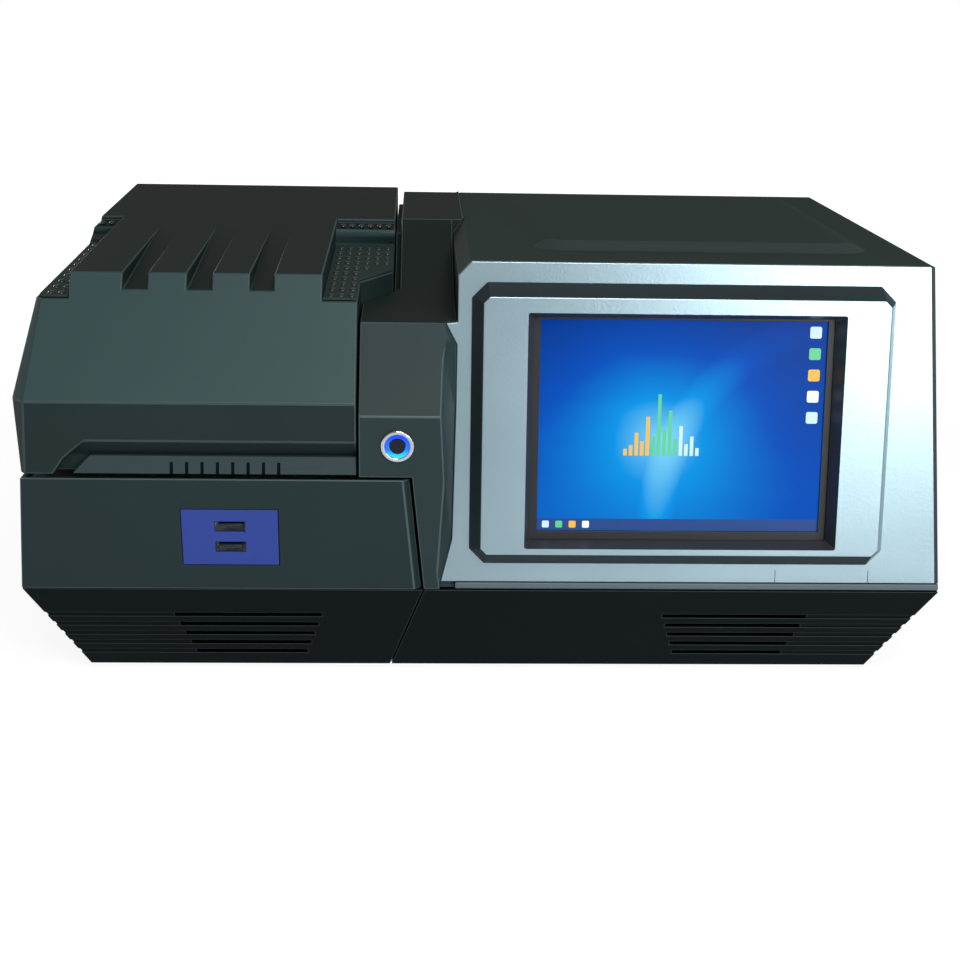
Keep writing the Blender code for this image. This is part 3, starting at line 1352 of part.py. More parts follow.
def panel_insert(name, parent, x, z, size, cavity):
    """Build a flanged box that fills a cutout of the rear panel."""
    width, height, depth = size
    face = BODY_DEPTH + REAR_PLATE + 2 * FIT + INLET_FLANGE_THICK
    low = (x - width / 2, face - depth, z - height / 2)
    high = (x + width / 2, face - INLET_FLANGE_THICK / 2, z + height / 2)
    insert = add(name, block(low, high), BLACK_PLASTIC, parent)
    low = (x - width / 2 - INLET_FLANGE, face - INLET_FLANGE_THICK, z - height / 2 - INLET_FLANGE)
    high = (x + width / 2 + INLET_FLANGE, face, z + height / 2 + INLET_FLANGE)
    shaped(insert, block(low, high), "UNION")
    wide, tall, deep = cavity
    low = (x - wide / 2, face - deep, z - tall / 2)
    shaped(insert, block(low, (x + wide / 2, face + OVERRUN, z + tall / 2)))
    return insert, face


def spider_outline():
    """Return the (x, y) outline of a fan's hub plate with its four arms."""
    points = []
    reach = FAN_BORE + WALL / 2
    half = FAN_ARM / 2
    for quarter in range(4):
        turn = Matrix.Rotation(pi / 2 * quarter + pi / 4, 2)
        for corner in ((reach, -half), (reach, half)):
            points.append(tuple(turn @ Vector(corner)))
        for index in range(1, 4):
            angle = pi / 2 * index / 4
            points.append(tuple(turn @ Vector((FAN_HUB * cos(angle), FAN_HUB * sin(angle)))))
    return points


def blade(index):
    """Return one twisted fan blade about Z."""
    rings = []
    depth = FAN_DEPTH - FAN_SPIDER - 2 * WALL
    for radius, lean in ((FAN_HUB - WALL, 1.0), (FAN_SWEEP, 0.8)):
        ring = []
        for along, thick in ((-1, -1), (1, -1), (1, 1), (-1, 1)):
            x = FAN_BLADE_CHORD * along * lean + FAN_BLADE * thick
            ring.append((radius, x, FAN_SPIDER + WALL + depth * (along + 1) / 2))
        rings.append(ring)
    turn = Matrix.Rotation(2 * pi * index / FAN_BLADES, 4, "Z")
    return placed(bridged(rings, False), turn)


def build_rear(root):
    """Build the rear panel with its fans, inlet and power switch."""
    left, right, foot, top = rear_bounds()
    plate_start = BODY_DEPTH + FIT
    plate_end = plate_start + REAR_PLATE
    low = (left - REAR_LAP, plate_start, foot - REAR_LAP)
    panel = add("rear_panel", block(low, (right + REAR_LAP, plate_end, top + REAR_LAP)), ENAMEL, root)
    fan_z = BASE_HEIGHT + FAN_LIFT
    slots = []
    start = BODY_DEPTH - FAN_DEPTH
    for hand, side in (("left", -1), ("right", 1)):
        x = FAN_CENTRE_X + side * FAN_SPREAD / 2
        half = FAN_SIZE / 2
        solid = block((x - half, start, fan_z - half), (x + half, BODY_DEPTH, fan_z + half))
        fan = add("fan_frame_" + hand, solid, BLACK_PLASTIC, root)
        bore = disc(FAN_BORE, -OVERRUN, FAN_DEPTH + OVERRUN)
        shaped(fan, placed(bore, along_y(x, start, fan_z)))
        plate = plan_prism(spider_outline(), 0.0, FAN_SPIDER)
        shaped(fan, placed(plate, along_y(x, start, fan_z)), "UNION")
        for index in range(FAN_VENTS):
            offset = FAN_VENT_PITCH * (index - (FAN_VENTS - 1) / 2)
            span = (FAN_BORE ** 2 - offset ** 2) ** 0.5 - WALL
            z = fan_z + offset
            low = (x - span, plate_start - OVERRUN, z - FAN_VENT_SLOT / 2)
            slots.append(block(low, (x + span, plate_end + OVERRUN, z + FAN_VENT_SLOT / 2)))
        axle = frame_at("fan_axle_" + hand, (x, start, fan_z), root, (-pi / 2, 0.0, 0.0))
        hub = disc(FAN_HUB, FAN_SPIDER + FIT, FAN_DEPTH - WALL)
        rotor = add("fan_rotor_" + hand, hub, BLACK_PLASTIC, axle)
        shaped(rotor, together(*[blade(number) for number in range(FAN_BLADES)]), "UNION")
    shaped(panel, together(*slots))
    inlet_z = BASE_HEIGHT + INLET_LIFT
    inlet = (INLET_WIDTH, INLET_HEIGHT, INLET_DEPTH)
    cavity = (INLET_CAVITY_WIDTH, INLET_CAVITY_HEIGHT, INLET_CAVITY_DEPTH)
    socket, face = panel_insert("power_inlet", root, INLET_X, inlet_z, inlet, cavity)
    pins = []
    for spread, lift in ((-1, -1), (0, 1), (1, -1)):
        x = INLET_X + INLET_PIN_SPREAD * spread
        z = inlet_z + INLET_PIN_LIFT * lift
        y = face - INLET_CAVITY_DEPTH - WALL
        low = (x - INLET_PIN_WIDTH / 2, y, z - INLET_PIN_HEIGHT / 2)
        high = (x + INLET_PIN_WIDTH / 2, y + WALL + INLET_PIN_LENGTH, z + INLET_PIN_HEIGHT / 2)
        pins.append(block(low, high))
    shaped(socket, together(*pins), "UNION")
    switch = (SWITCH_WIDTH, SWITCH_HEIGHT, SWITCH_DEPTH)
    wide = SWITCH_WIDTH - 2 * SWITCH_WALL
    cavity = (wide, SWITCH_HEIGHT - 2 * SWITCH_WALL, SWITCH_CAVITY_DEPTH)
    panel_insert("rocker_housing", root, SWITCH_X, inlet_z, switch, cavity)
    holes = []
    for x, size in ((INLET_X, inlet), (SWITCH_X, switch)):
        low = (x - size[0] / 2 - FIT, plate_start - OVERRUN, inlet_z - size[1] / 2 - FIT)
        holes.append(block(low, (x + size[0] / 2 + FIT, plate_end + OVERRUN, inlet_z + size[1] / 2 + FIT)))
    shaped(panel, together(*holes))
    section = [
        (-ROCKER_ROOT, -ROCKER_ROOT_HALF),
        (ROCKER_EDGE, -ROCKER_REACH),
        (ROCKER_FRONT, -ROCKER_REACH),
        (ROCKER_MIDDLE, 0.0),
        (ROCKER_FRONT, ROCKER_REACH),
        (ROCKER_EDGE, ROCKER_REACH),
        (-ROCKER_ROOT, ROCKER_ROOT_HALF),
    ]
    pivot = frame_at("rocker_pivot", (SWITCH_X, face - ROCKER_PIVOT, inlet_z), root, (ROCKER_TILT, 0.0, 0.0))
    rocker = profile_prism(section, FIT - wide / 2, wide / 2 - FIT)
    add("power_rocker", rocker, BLACK_PLASTIC, pivot)


# measuring head and electronics
def build_head(root):
    """Build the measuring head under the deck."""
    deck_foot = DECK_TOP - DECK_PLATE
    top = deck_foot - FIT
    foot = top - HEAD_HEIGHT
    half = HEAD_SIZE / 2
    low = (STAGE_X - half, STAGE_Y - half, foot)
    head = add("head_block", block(low, (STAGE_X + half, STAGE_Y + half, top)), ALUMINIUM, root)
    beam = disc(BEAM_RADIUS, foot - OVERRUN, top + OVERRUN)
    shaped(head, placed(beam, at(STAGE_X, STAGE_Y, 0.0)))
    here = at(STAGE_X, STAGE_Y, 0.0)
    floor = CHASSIS_PLATE + FIT
    wheel_top = foot - WHEEL_CLEAR
    wheel_foot = wheel_top - WHEEL_THICK
    tube_top = wheel_foot - FIT
    neck = tube_top - TUBE_NECK_HEIGHT
    profile = [
        (0.0, floor),
        (TUBE_RADIUS, floor),
        (TUBE_RADIUS, neck),
        (TUBE_NECK_RADIUS, tube_top),
        (0.0, tube_top),
    ]
    add("xray_tube", placed(turned(profile), here), BRASS, root, True)
    sleeve = TUBE_RADIUS + FIT
    shield = tube(sleeve, sleeve + SHIELD_THICK, floor, neck - SHIELD_DROP)
    add("tube_shield", placed(shield, here), LEAD_GREY, root, True)
    wheel_x = STAGE_X - WHEEL_PITCH_RADIUS
    wheel = tube(SHAFT_RADIUS + FIT, WHEEL_RADIUS, 0.0, WHEEL_THICK, 2 * ROUND_STEPS)
    axle = frame_at("wheel_axle", (wheel_x, STAGE_Y, wheel_foot), root)
    wheel_piece = add("collimator_wheel", wheel, ALUMINIUM, axle, True)
    holes = []
    for index in range(WHEEL_HOLES):
        angle = 2 * pi * index / WHEEL_HOLES
        x = WHEEL_PITCH_RADIUS * cos(angle)
        y = WHEEL_PITCH_RADIUS * sin(angle)
        hole = disc(WHEEL_HOLE_RADIUS, -OVERRUN, WHEEL_THICK + OVERRUN, SMALL_STEPS)
        holes.append(placed(hole, at(x, y, 0.0)))
    shaped(wheel_piece, together(*holes))
    motor_top = wheel_foot - FIT
    motor_foot = motor_top - MOTOR_HEIGHT
    side = MOTOR_SIZE / 2
    low = (wheel_x - side, STAGE_Y - side, motor_foot)
    motor = block(low, (wheel_x + side, STAGE_Y + side, motor_top))
    piece = add("collimator_motor", motor, BLACK_PLASTIC, root)
    shaft = disc(SHAFT_RADIUS, motor_top - WALL, wheel_top, SMALL_STEPS)
    shaped(piece, placed(shaft, at(wheel_x, STAGE_Y, 0.0)), "UNION")
    low = (wheel_x - side, STAGE_Y - side, floor)
    stand = add("motor_stand", block(low, (wheel_x + side, STAGE_Y + side, motor_foot - FIT)), STEEL, root)
    inner = side - MOTOR_STAND_WALL
    low = (wheel_x - inner, STAGE_Y - BODY_DEPTH, floor + MOTOR_STAND_WALL)
    high = (wheel_x + inner, STAGE_Y + BODY_DEPTH, motor_foot - FIT - MOTOR_STAND_WALL)
    shaped(stand, block(low, high))
    middle = (foot + top) / 2
    detector = disc(DETECTOR_RADIUS, 0.0, DETECTOR_LENGTH)
    start = STAGE_X + half + FIT
    add("detector", placed(detector, along_x(start, STAGE_Y, middle)), STEEL, root, True)
    side = CAMERA_SIZE / 2
    low = (STAGE_X - half - FIT - CAMERA_LENGTH, STAGE_Y - side, middle - side)
    high = (STAGE_X - half - FIT, STAGE_Y + side, middle + side)
    add("sample_camera", block(low, high), BLACK_PLASTIC, root)
    width, depth, height = SUPPLY_SIZE
    back = BODY_DEPTH - SUPPLY_BACK_MARGIN
    low = (STAGE_X - width / 2, back - depth, floor)
    add("hv_supply", block(low, (STAGE_X + width / 2, back, floor + height)), LEAD_GREY, root)


def build_electronics(root):
    """Build the boards and supplies on the chassis."""
    floor = CHASSIS_PLATE + FIT
    width, depth, height = POWER_SIZE
    right = HALF_WIDTH - POWER_MARGIN
    low = (right - width, BOARD_SET, floor)
    supply = block(low, (right, BOARD_SET + depth, floor + height))
    add("power_supply", supply, ALUMINIUM, root)
    left = MODULE_SPLIT_X + BOARD_LEFT
    right = right - width - POWER_GAP
    back = BOARD_SET + BOARD_DEPTH
    foot = floor + STANDOFF_HEIGHT
    plate = block((left, BOARD_SET, foot), (right, back, foot + BOARD_THICK))
    board = add("main_board", plate, BOARD_GREEN, root)
    posts = []
    for x in (left + STANDOFF_INSET, right - STANDOFF_INSET):
        for y in (BOARD_SET + STANDOFF_INSET, back - STANDOFF_INSET):
            post = disc(STANDOFF_RADIUS, floor, foot + BOARD_THICK / 2, SMALL_STEPS)
            posts.append(placed(post, at(x, y, 0.0)))
    shaped(board, together(*posts), "UNION")


def main():
    """Build the whole analyzer."""
    for item in list(bpy.context.scene.objects):
        bpy.data.objects.remove(item, do_unlink=True)
    reach = -chin_y(CREASE_RISE)
    depth = reach + BODY_DEPTH + FIT + 2 * KNUCKLE_RADIUS
    root = frame_at("body_frame", (0.0, reach - depth / 2, FOOT_HEIGHT))
    build_base(root)
    build_body(root)
    axis_y, axis_z = hinge_axis()
    lid = frame_at("hood_axis", (0.0, axis_y, axis_z), root)
    build_hood(lid)
    build_column(root)
    rise = COLUMN_FOOT_RISE + BUTTON_LIFT
    turn = (pi / 2 + CHIN_LEAN, 0.0, 0.0)
    build_button(frame_at("button_frame", (BUTTON_X, chin_y(rise), rise), root, turn))
    build_housing(root)
    build_display(root)
    build_hinges(root, lid)
    build_rear(root)
    build_head(root)
    build_electronics(root)
    for piece in lid.children:
        piece.location = (0.0, -axis_y, -axis_z)


main()
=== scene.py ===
"""Looks of a benchtop x-ray fluorescence analyzer, built over its measured frame."""

import logging
from dataclasses import dataclass, field
from enum import Enum
from math import cos, pi, radians, sin, tan

import bmesh
import bpy
from mathutils import Matrix, Vector


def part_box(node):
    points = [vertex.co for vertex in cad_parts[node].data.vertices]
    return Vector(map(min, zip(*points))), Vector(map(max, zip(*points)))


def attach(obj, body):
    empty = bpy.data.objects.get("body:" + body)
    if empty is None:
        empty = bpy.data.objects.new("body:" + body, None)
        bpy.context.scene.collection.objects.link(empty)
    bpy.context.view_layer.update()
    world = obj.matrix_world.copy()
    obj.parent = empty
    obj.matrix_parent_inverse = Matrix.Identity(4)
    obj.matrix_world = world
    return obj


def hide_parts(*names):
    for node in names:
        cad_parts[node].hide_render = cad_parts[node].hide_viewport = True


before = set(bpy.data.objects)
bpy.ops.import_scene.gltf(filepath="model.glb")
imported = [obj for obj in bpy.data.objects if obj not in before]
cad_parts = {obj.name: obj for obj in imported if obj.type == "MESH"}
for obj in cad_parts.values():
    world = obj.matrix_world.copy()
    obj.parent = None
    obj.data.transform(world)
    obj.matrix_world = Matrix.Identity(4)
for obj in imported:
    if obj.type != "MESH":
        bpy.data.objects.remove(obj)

Mesh = bmesh.types.BMesh
Pair = tuple[float, float]
Triple = tuple[float, float, float]
LOG = logging.getLogger("analyzer")
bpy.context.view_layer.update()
FASCIA_LEAN = radians(6.0)


# shader maths
class Signal:
    """A shader socket that can be used in Python expressions."""

    def __init__(self, tree: bpy.types.NodeTree, socket: bpy.types.NodeSocket) -> None:
        """Keep the tree and the output that carries the value."""
        self.tree = tree
        self.socket = socket

    def math(self, operation: str, other: "Signal | float", flip: bool = False) -> "Signal":
        """Add one Math node.

        Args:
            operation: The Math node's operation.
            other: The second operand.
            flip: True puts the other operand first.

        Returns:
            The node's result.
        """
        node = self.tree.nodes.new("ShaderNodeMath")
        node.operation = operation
        places = (1, 0) if flip else (0, 1)
        for place, operand in zip(places, (self, other)):
            if isinstance(operand, Signal):
                self.tree.links.new(operand.socket, node.inputs[place])
            else:
                node.inputs[place].default_value = operand
        return Signal(self.tree, node.outputs[0])

    def __add__(self, other: "Signal | float") -> "Signal":
        """Add."""
        return self.math("ADD", other)

    def __radd__(self, other: "Signal | float") -> "Signal":
        """Add, reflected."""
        return self.math("ADD", other, True)

    def __sub__(self, other: "Signal | float") -> "Signal":
        """Subtract."""
        return self.math("SUBTRACT", other)

    def __rsub__(self, other: "Signal | float") -> "Signal":
        """Subtract, reflected."""
        return self.math("SUBTRACT", other, True)

    def __mul__(self, other: "Signal | float") -> "Signal":
        """Multiply."""
        return self.math("MULTIPLY", other)

    def __rmul__(self, other: "Signal | float") -> "Signal":
        """Multiply, reflected."""
        return self.math("MULTIPLY", other, True)

    def __truediv__(self, other: "Signal | float") -> "Signal":
        """Divide."""
        return self.math("DIVIDE", other)

    def __pow__(self, other: "Signal | float") -> "Signal":
        """Raise to a power."""
        return self.math("POWER", other)

    def capped(self, low: float, high: float) -> "Signal":
        """Keep the value between two limits."""
        return self.math("MAXIMUM", low).math("MINIMUM", high)


class Recipe:
    """One procedural material under construction."""

    def __init__(self, name: str) -> None:
        """Start an empty material with a Principled surface."""
        self.material = bpy.data.materials.new(name)
        self.material.use_nodes = True
        self.tree = self.material.node_tree
        self.surface = self.tree.nodes["Principled BSDF"]
        self.place = self.make("ShaderNodeTexCoord").outputs["Object"]

    def make(self, kind: str, settings: dict | None = None, **sockets: object) -> bpy.types.Node:
        """Add one node.

        Args:
            kind: The node's type.
            settings: Properties of the node, set first; "stops" fills a colour ramp.
            sockets: Values or links by socket name, with _ for a blank.

        Returns:
            The new node.
        """
        node = self.tree.nodes.new(kind)
        for key, value in (settings or {}).items():
            if key == "stops":
                ramp = node.color_ramp
                for index, (position, colour) in enumerate(value):
                    stop = ramp.elements[index] if index < 2 else ramp.elements.new(position)
                    stop.position = position
                    stop.color = colour
            else:
                setattr(node, key, value)
        for key, value in sockets.items():
            socket = node.inputs[key.replace("_", " ")]
            if isinstance(value, Signal):
                self.tree.links.new(value.socket, socket)
            elif isinstance(value, bpy.types.NodeSocket):
                self.tree.links.new(value, socket)
            else:
                socket.default_value = value
        return node

    def signal(self, socket: bpy.types.NodeSocket) -> Signal:
        """Wrap an output for use in expressions."""
        return Signal(self.tree, socket)

    def stretched(self, scale: Triple) -> bpy.types.NodeSocket:
        """Return object coordinates scaled along each axis."""
        return self.make("ShaderNodeMapping", Vector=self.place, Scale=scale).outputs[0]

    def noise(self, scale: float, detail: float = 2.0, along: bpy.types.NodeSocket | None = None) -> Signal:
        """Return noise between 0 and 1, along object coordinates or others."""
        place = along or self.place
        node = self.make("ShaderNodeTexNoise", Vector=place, Scale=scale, Detail=detail)
        return self.signal(node.outputs[0])

    def tinted(self, colour: Triple, share: Signal, spread: float) -> None:
        """Vary the base colour around a linear colour, by a share and a spread."""
        dark = tuple(max(0.0, part * (1.0 - spread)) for part in colour) + (1.0,)
        light = tuple(min(1.0, part * (1.0 + spread)) for part in colour) + (1.0,)
        ramp = self.make("ShaderNodeValToRGB", {"stops": ((0.3, dark), (0.7, light))}, Fac=share)
        self.link(ramp.outputs[0], "Base Color")

    def link(self, value: "Signal | bpy.types.NodeSocket", socket: str) -> None:
        """Feed one socket of the surface."""
        source = value.socket if isinstance(value, Signal) else value
        self.tree.links.new(source, self.surface.inputs[socket])

    def bump(self, height: Signal, distance: float) -> None:
        """Raise the surface by a height in metres."""
        node = self.make("ShaderNodeBump", Height=height, Distance=distance, Strength=1.0)
        self.link(node.outputs[0], "Normal")

    def fixed(self, **values: object) -> None:
        """Set plain values on the surface's own sockets."""
        for key, value in values.items():
            self.surface.inputs[key.replace("_", " ")].default_value = value


class Texture(Enum):
    """Kinds of fine surface."""

    LACQUER = "lacquer"
    PLASTIC = "plastic"
    BRUSHED = "brushed"
    RUBBER = "rubber"
    LIT = "lit"
    BOARD = "board"


@dataclass(frozen=True)
class Grain:
    """The fine noise of a texture and what it does to the surface."""

    scale: float
    octaves: float
    share: float
    spread: float
    swing: float
    depth: float
    stretch: Triple | None = None


GRAINS = {
    Texture.PLASTIC: Grain(1500.0, 3.0, 0.5, 0.12, 0.12, 0.00008),
    Texture.BRUSHED: Grain(1.0, 4.0, 0.6, 0.14, 0.20, 0.00002, (35.0, 1600.0, 1600.0)),
    Texture.RUBBER: Grain(1100.0, 4.0, 0.6, 0.25, 0.10, 0.00015),
}


@dataclass(frozen=True)
class Finish:
    """One finish of the analyzer, as linear colour and gloss."""

    name: str
    colour: Triple
    roughness: float
    metallic: float = 0.0
    texture: Texture = Texture.LACQUER
    coat: float = 0.0
    glow: float = 0.0
    gloss: float = 0.3

    def material(self) -> bpy.types.Material:
        """Return the finish's material, made once."""
        found = bpy.data.materials.get(self.name)
        return found or self.build().material

    def build(self) -> Recipe:
        """Build the material's nodes."""
        recipe = Recipe(self.name)
        recipe.fixed(Metallic=self.metallic)
        broad = recipe.noise(7.0, 3.0)
        if self.texture in GRAINS:
            self.grained(recipe, broad, GRAINS[self.texture])
        elif self.texture is Texture.LACQUER:
            self.lacquered(recipe, broad)
        elif self.texture is Texture.BOARD:
            self.etched(recipe, broad)
        else:
            self.lit(recipe)
        return recipe

    def grained(self, recipe: Recipe, broad: Signal, grain: Grain) -> None:
        """Give the surface one fine noise on top of its broad one."""
        along = recipe.stretched(grain.stretch) if grain.stretch else None
        fine = recipe.noise(grain.scale, grain.octaves, along)
        recipe.tinted(self.colour, fine * grain.share + broad * (1.0 - grain.share), grain.spread)
        recipe.link(self.roughness - grain.swing / 2 + fine * grain.swing, "Roughness")
        recipe.bump(fine, grain.depth)
        if self.texture is Texture.PLASTIC:
            recipe.fixed(Specular_IOR_Level=self.gloss)

    def lacquered(self, recipe: Recipe, broad: Signal) -> None:
        """Give the surface orange peel and fine specks."""
        peel = recipe.noise(620.0, 3.0)
        speck = recipe.noise(2600.0, 2.0)
        recipe.tinted(self.colour, broad * 0.7 + speck * 0.3, 0.10)
        recipe.link(self.roughness - 0.05 + broad * 0.06 + speck * 0.06, "Roughness")
        recipe.bump(peel * 0.8 + speck * 0.4, 0.00006)
        recipe.fixed(Coat_Weight=self.coat, Coat_Roughness=0.25, Specular_IOR_Level=self.gloss)

    def etched(self, recipe: Recipe, broad: Signal) -> None:
        """Give the surface the tracks of a circuit board."""
        cells = recipe.make("ShaderNodeTexBrick", {"offset": 0.5}, Vector=recipe.place, Scale=90.0,
                            Color1=self.colour + (1.0,), Mortar_Size=0.08,
                            Color2=tuple(part * 0.7 for part in self.colour) + (1.0,),
                            Mortar=tuple(min(1.0, part * 2.0) for part in self.colour) + (1.0,))
        recipe.link(cells.outputs[0], "Base Color")
        recipe.link(self.roughness + broad * 0.1, "Roughness")

    def lit(self, recipe: Recipe) -> None:
        """Let the surface shine in its own colour."""
        grain = recipe.noise(900.0, 2.0)
        recipe.tinted(tuple(part * 0.2 for part in self.colour), grain, 0.06)
        recipe.link(self.roughness + grain * 0.05, "Roughness")
        recipe.fixed(Emission_Color=self.colour + (1.0,), Emission_Strength=self.glow,
                     Specular_IOR_Level=0.25)


class Finishes:
    """The finishes of all visible surfaces."""

    hood = Finish("hood enamel", (0.0245, 0.052, 0.0525), 0.43, gloss=0.16)
    body = Finish("body enamel", (0.0145, 0.027, 0.029), 0.44, gloss=0.12)
    column = Finish("column enamel", (0.0195, 0.0345, 0.0365), 0.44, gloss=0.13)
    # painted shade on the hood's faces below the front fold
    chin_shade = Finish("chin enamel painted shade", (0.0125, 0.0235, 0.0245), 0.44, gloss=0.12)
    # The three edge finishes below are painted highlights on the rounded convex edges
    hood_edge_highlight = Finish("hood enamel edge highlight", (0.037, 0.06, 0.062), 0.38, 0.1, gloss=0.2)
    edge_highlight = Finish("enamel edge highlight", (0.056, 0.086, 0.09), 0.36, 0.15, gloss=0.2)
    base_edge_highlight = Finish("base enamel edge highlight", (0.02, 0.029, 0.031), 0.4, gloss=0.12)
    # crown: the rear panel's own dark enamel, and painted shade on the up-facing faces of hood and column
    crown = Finish("rear panel enamel and painted top shade", (0.013, 0.02, 0.017), 0.55, gloss=0.1)
    top = Finish("top enamel", (0.024, 0.0395, 0.0345), 0.6, gloss=0.08)
    # painted light on the top panel's forward-facing slope
    lit_panel_slope = Finish("top panel slope painted light", (0.033, 0.045, 0.045), 0.5, gloss=0.12)
    # painted light on the housing's forward-facing sill
    lit_sill = Finish("sill enamel painted light", (0.08, 0.115, 0.13), 0.42, gloss=0.25)
    stud = Finish("stud enamel", (0.024, 0.031, 0.031), 0.28, 0.1, coat=0.2)
    base = Finish("base enamel", (0.0036, 0.0068, 0.008), 0.55, gloss=0.04)
    # the fascia's dark strip and seams, and painted reflection on the bezel's top, left and bottom chamfers
    edge = Finish("dark enamel and painted chamfer reflection", (0.017, 0.025, 0.028), 0.45, gloss=0.2)
    silver = Finish("silver lacquer", (0.285, 0.395, 0.445), 0.29, 0.85, coat=0.08)
    frame_dark = Finish("screen frame black", (0.012, 0.014, 0.017), 0.35, texture=Texture.PLASTIC)
    throat = Finish("screen throat grey", (0.03, 0.034, 0.036), 0.38, texture=Texture.PLASTIC)
    black = Finish("black plastic", (0.012, 0.013, 0.014), 0.5, texture=Texture.PLASTIC)
    insert = Finish("handle insert enamel", (0.027, 0.044, 0.046), 0.42, gloss=0.2)
    blue = Finish("blue panel plastic", (0.02, 0.045, 0.25), 0.42, texture=Texture.PLASTIC)
    cap = Finish("button cap", (0.008, 0.01, 0.016), 0.25, texture=Texture.PLASTIC, gloss=0.2)
    chrome = Finish("polished metal", (0.62, 0.64, 0.67), 0.14, 1.0, Texture.BRUSHED)
    steel = Finish("brushed steel", (0.46, 0.47, 0.48), 0.34, 1.0, Texture.BRUSHED)
    zinc = Finish("zinc screws", (0.5, 0.5, 0.49), 0.3, 1.0, Texture.BRUSHED)
    aluminium = Finish("milled aluminium", (0.58, 0.6, 0.61), 0.38, 1.0, Texture.BRUSHED)
    lead = Finish("lead grey metal", (0.17, 0.18, 0.19), 0.55, 0.9, Texture.BRUSHED)
    brass = Finish("turned brass", (0.62, 0.42, 0.14), 0.3, 1.0, Texture.BRUSHED)
    rubber = Finish("moulded rubber", (0.018, 0.018, 0.019), 0.85, texture=Texture.RUBBER)
    board = Finish("solder mask", (0.015, 0.13, 0.05), 0.4, texture=Texture.BOARD)
    film = Finish("amber film", (0.5, 0.28, 0.06), 0.2, texture=Texture.PLASTIC)
    tongue = Finish("contact tongue", (0.01, 0.018, 0.022), 0.4, texture=Texture.PLASTIC)


# mesh helpers
def finished(name: str, bm: Mesh, finish: Finish, body: str,
             smooth: float = 32.0) -> bpy.types.Object:
    """Turn a bmesh into a dressed piece that rides on a body.

    Args:
        name: The piece's name.
        bm: Its mesh, freed here.
        finish: Its finish.
        body: The body that it rides on.
        smooth: Edges sharper than this many degrees stay sharp.

    Returns:
        The new object.
    """
    mesh = bpy.data.meshes.new(name)
    bmesh.ops.recalc_face_normals(bm, faces=bm.faces)
    bm.to_mesh(mesh)
    bm.free()
    mesh.shade_smooth()
    mesh.set_sharp_from_angle(angle=radians(smooth))
    mesh.materials.append(finish.material())
    piece = bpy.data.objects.new(name, mesh)
    bpy.context.scene.collection.objects.link(piece)
    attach(piece, body)
    LOG.info("%s rides on %s", name, body)
    return piece


def softened(bm: Mesh, edges: list[bmesh.types.BMEdge], width: float,
             segments: int = 2) -> list[bmesh.types.BMFace]:
    """Round some edges to a width and return the new faces."""
    made = bmesh.ops.bevel(bm, geom=edges, offset=width, offset_type="OFFSET", segments=segments,
                           profile=0.5, affect="EDGES", clamp_overlap=False, material=-1)
    return made["faces"]


def slab(low: Vector, high: Vector, width: float = 0.0) -> Mesh:
    """Return a box between two corners with rounded edges."""
    bm = bmesh.new()
    bmesh.ops.create_cube(bm, size=1.0)
    bmesh.ops.scale(bm, vec=high - low, verts=bm.verts)
    bmesh.ops.translate(bm, vec=(low + high) / 2, verts=bm.verts)
    if width:
        softened(bm, bm.edges[:], width)
    return bm


def merged(parts: list[Mesh]) -> Mesh:
    """Gather several meshes in one."""
    whole = bmesh.new()
    for part in parts:
        mesh = bpy.data.meshes.new("part")
        part.to_mesh(mesh)
        part.free()
        whole.from_mesh(mesh)
        bpy.data.meshes.remove(mesh)
    return whole


def lofted(rings: list[list[Triple]]) -> Mesh:
    """Join rings of equally many points, in order, and cap both ends."""
    bm = bmesh.new()
    loops = [[bm.verts.new(point) for point in ring] for ring in rings]
    for first, second in zip(loops, loops[1:]):
        count = len(first)
        for index in range(count):
            after = (index + 1) % count
            bm.faces.new((first[index], first[after], second[after], second[index]))
    bm.faces.new(loops[0][::-1])
    bm.faces.new(loops[-1])
    return bm


def rounded_plan(low: Vector, high: Vector, radius: float, inset: float, rise: float) -> list[Triple]:
    """Return a rounded rectangle at one height, moved inwards.

    Args:
        low: One corner of the whole rectangle.
        high: The other corner.
        radius: The corners' radius.
        inset: How far the outline moves in.
        rise: Its height.

    Returns:
        Its points.
    """
    points = []
    steps = 8
    corners = ((high.x, high.y, 0), (low.x, high.y, 1), (low.x, low.y, 2), (high.x, low.y, 3))
    reach = max(radius - inset, 0.0001)
    hold = max(radius, inset)
    for x, y, quarter in corners:
        centre_x = x - hold if quarter in (0, 3) else x + hold
        centre_y = y - hold if quarter in (0, 1) else y + hold
        for step in range(steps + 1):
            angle = pi / 2 * (quarter + step / steps)
            points.append((centre_x + reach * cos(angle), centre_y + reach * sin(angle), rise))
    return points


@dataclass(frozen=True)
class ScrewHead:
    """A domed screw head with a round recess; its shares are of the radius or the height."""

    radius: float = 0.0030
    height: float = 0.0011
    crown: float = 0.72
    rim: float = 0.22
    wall: float = 0.12
    recess: float = 0.4
    rounding: float = 0.08
    shortest: float = 0.1
    bend: float = 0.5
    steps: int = 20

    def placed(self, matrix: Matrix) -> Mesh:
        """Return the head with its foot on the XY plane of a matrix."""
        bm = bmesh.new()
        bmesh.ops.create_cone(bm, cap_ends=True, segments=self.steps, radius1=self.radius,
                              radius2=self.radius * self.crown, depth=self.height)
        bmesh.ops.translate(bm, vec=(0.0, 0.0, self.height / 2), verts=bm.verts)
        top = max(bm.faces, key=lambda face: face.calc_center_median().z)
        bmesh.ops.inset_individual(bm, faces=[top], thickness=self.radius * self.rim)
        bmesh.ops.inset_individual(bm, faces=[top], thickness=self.radius * self.wall,
                                   depth=-self.height * self.recess)
        edges = [edge for edge in bm.edges
                 if edge.calc_length() > self.radius * self.shortest and edge.calc_face_angle(0) > self.bend]
        softened(bm, edges, self.height * self.rounding, 1)
        bmesh.ops.transform(bm, matrix=matrix, verts=bm.verts)
        return bm


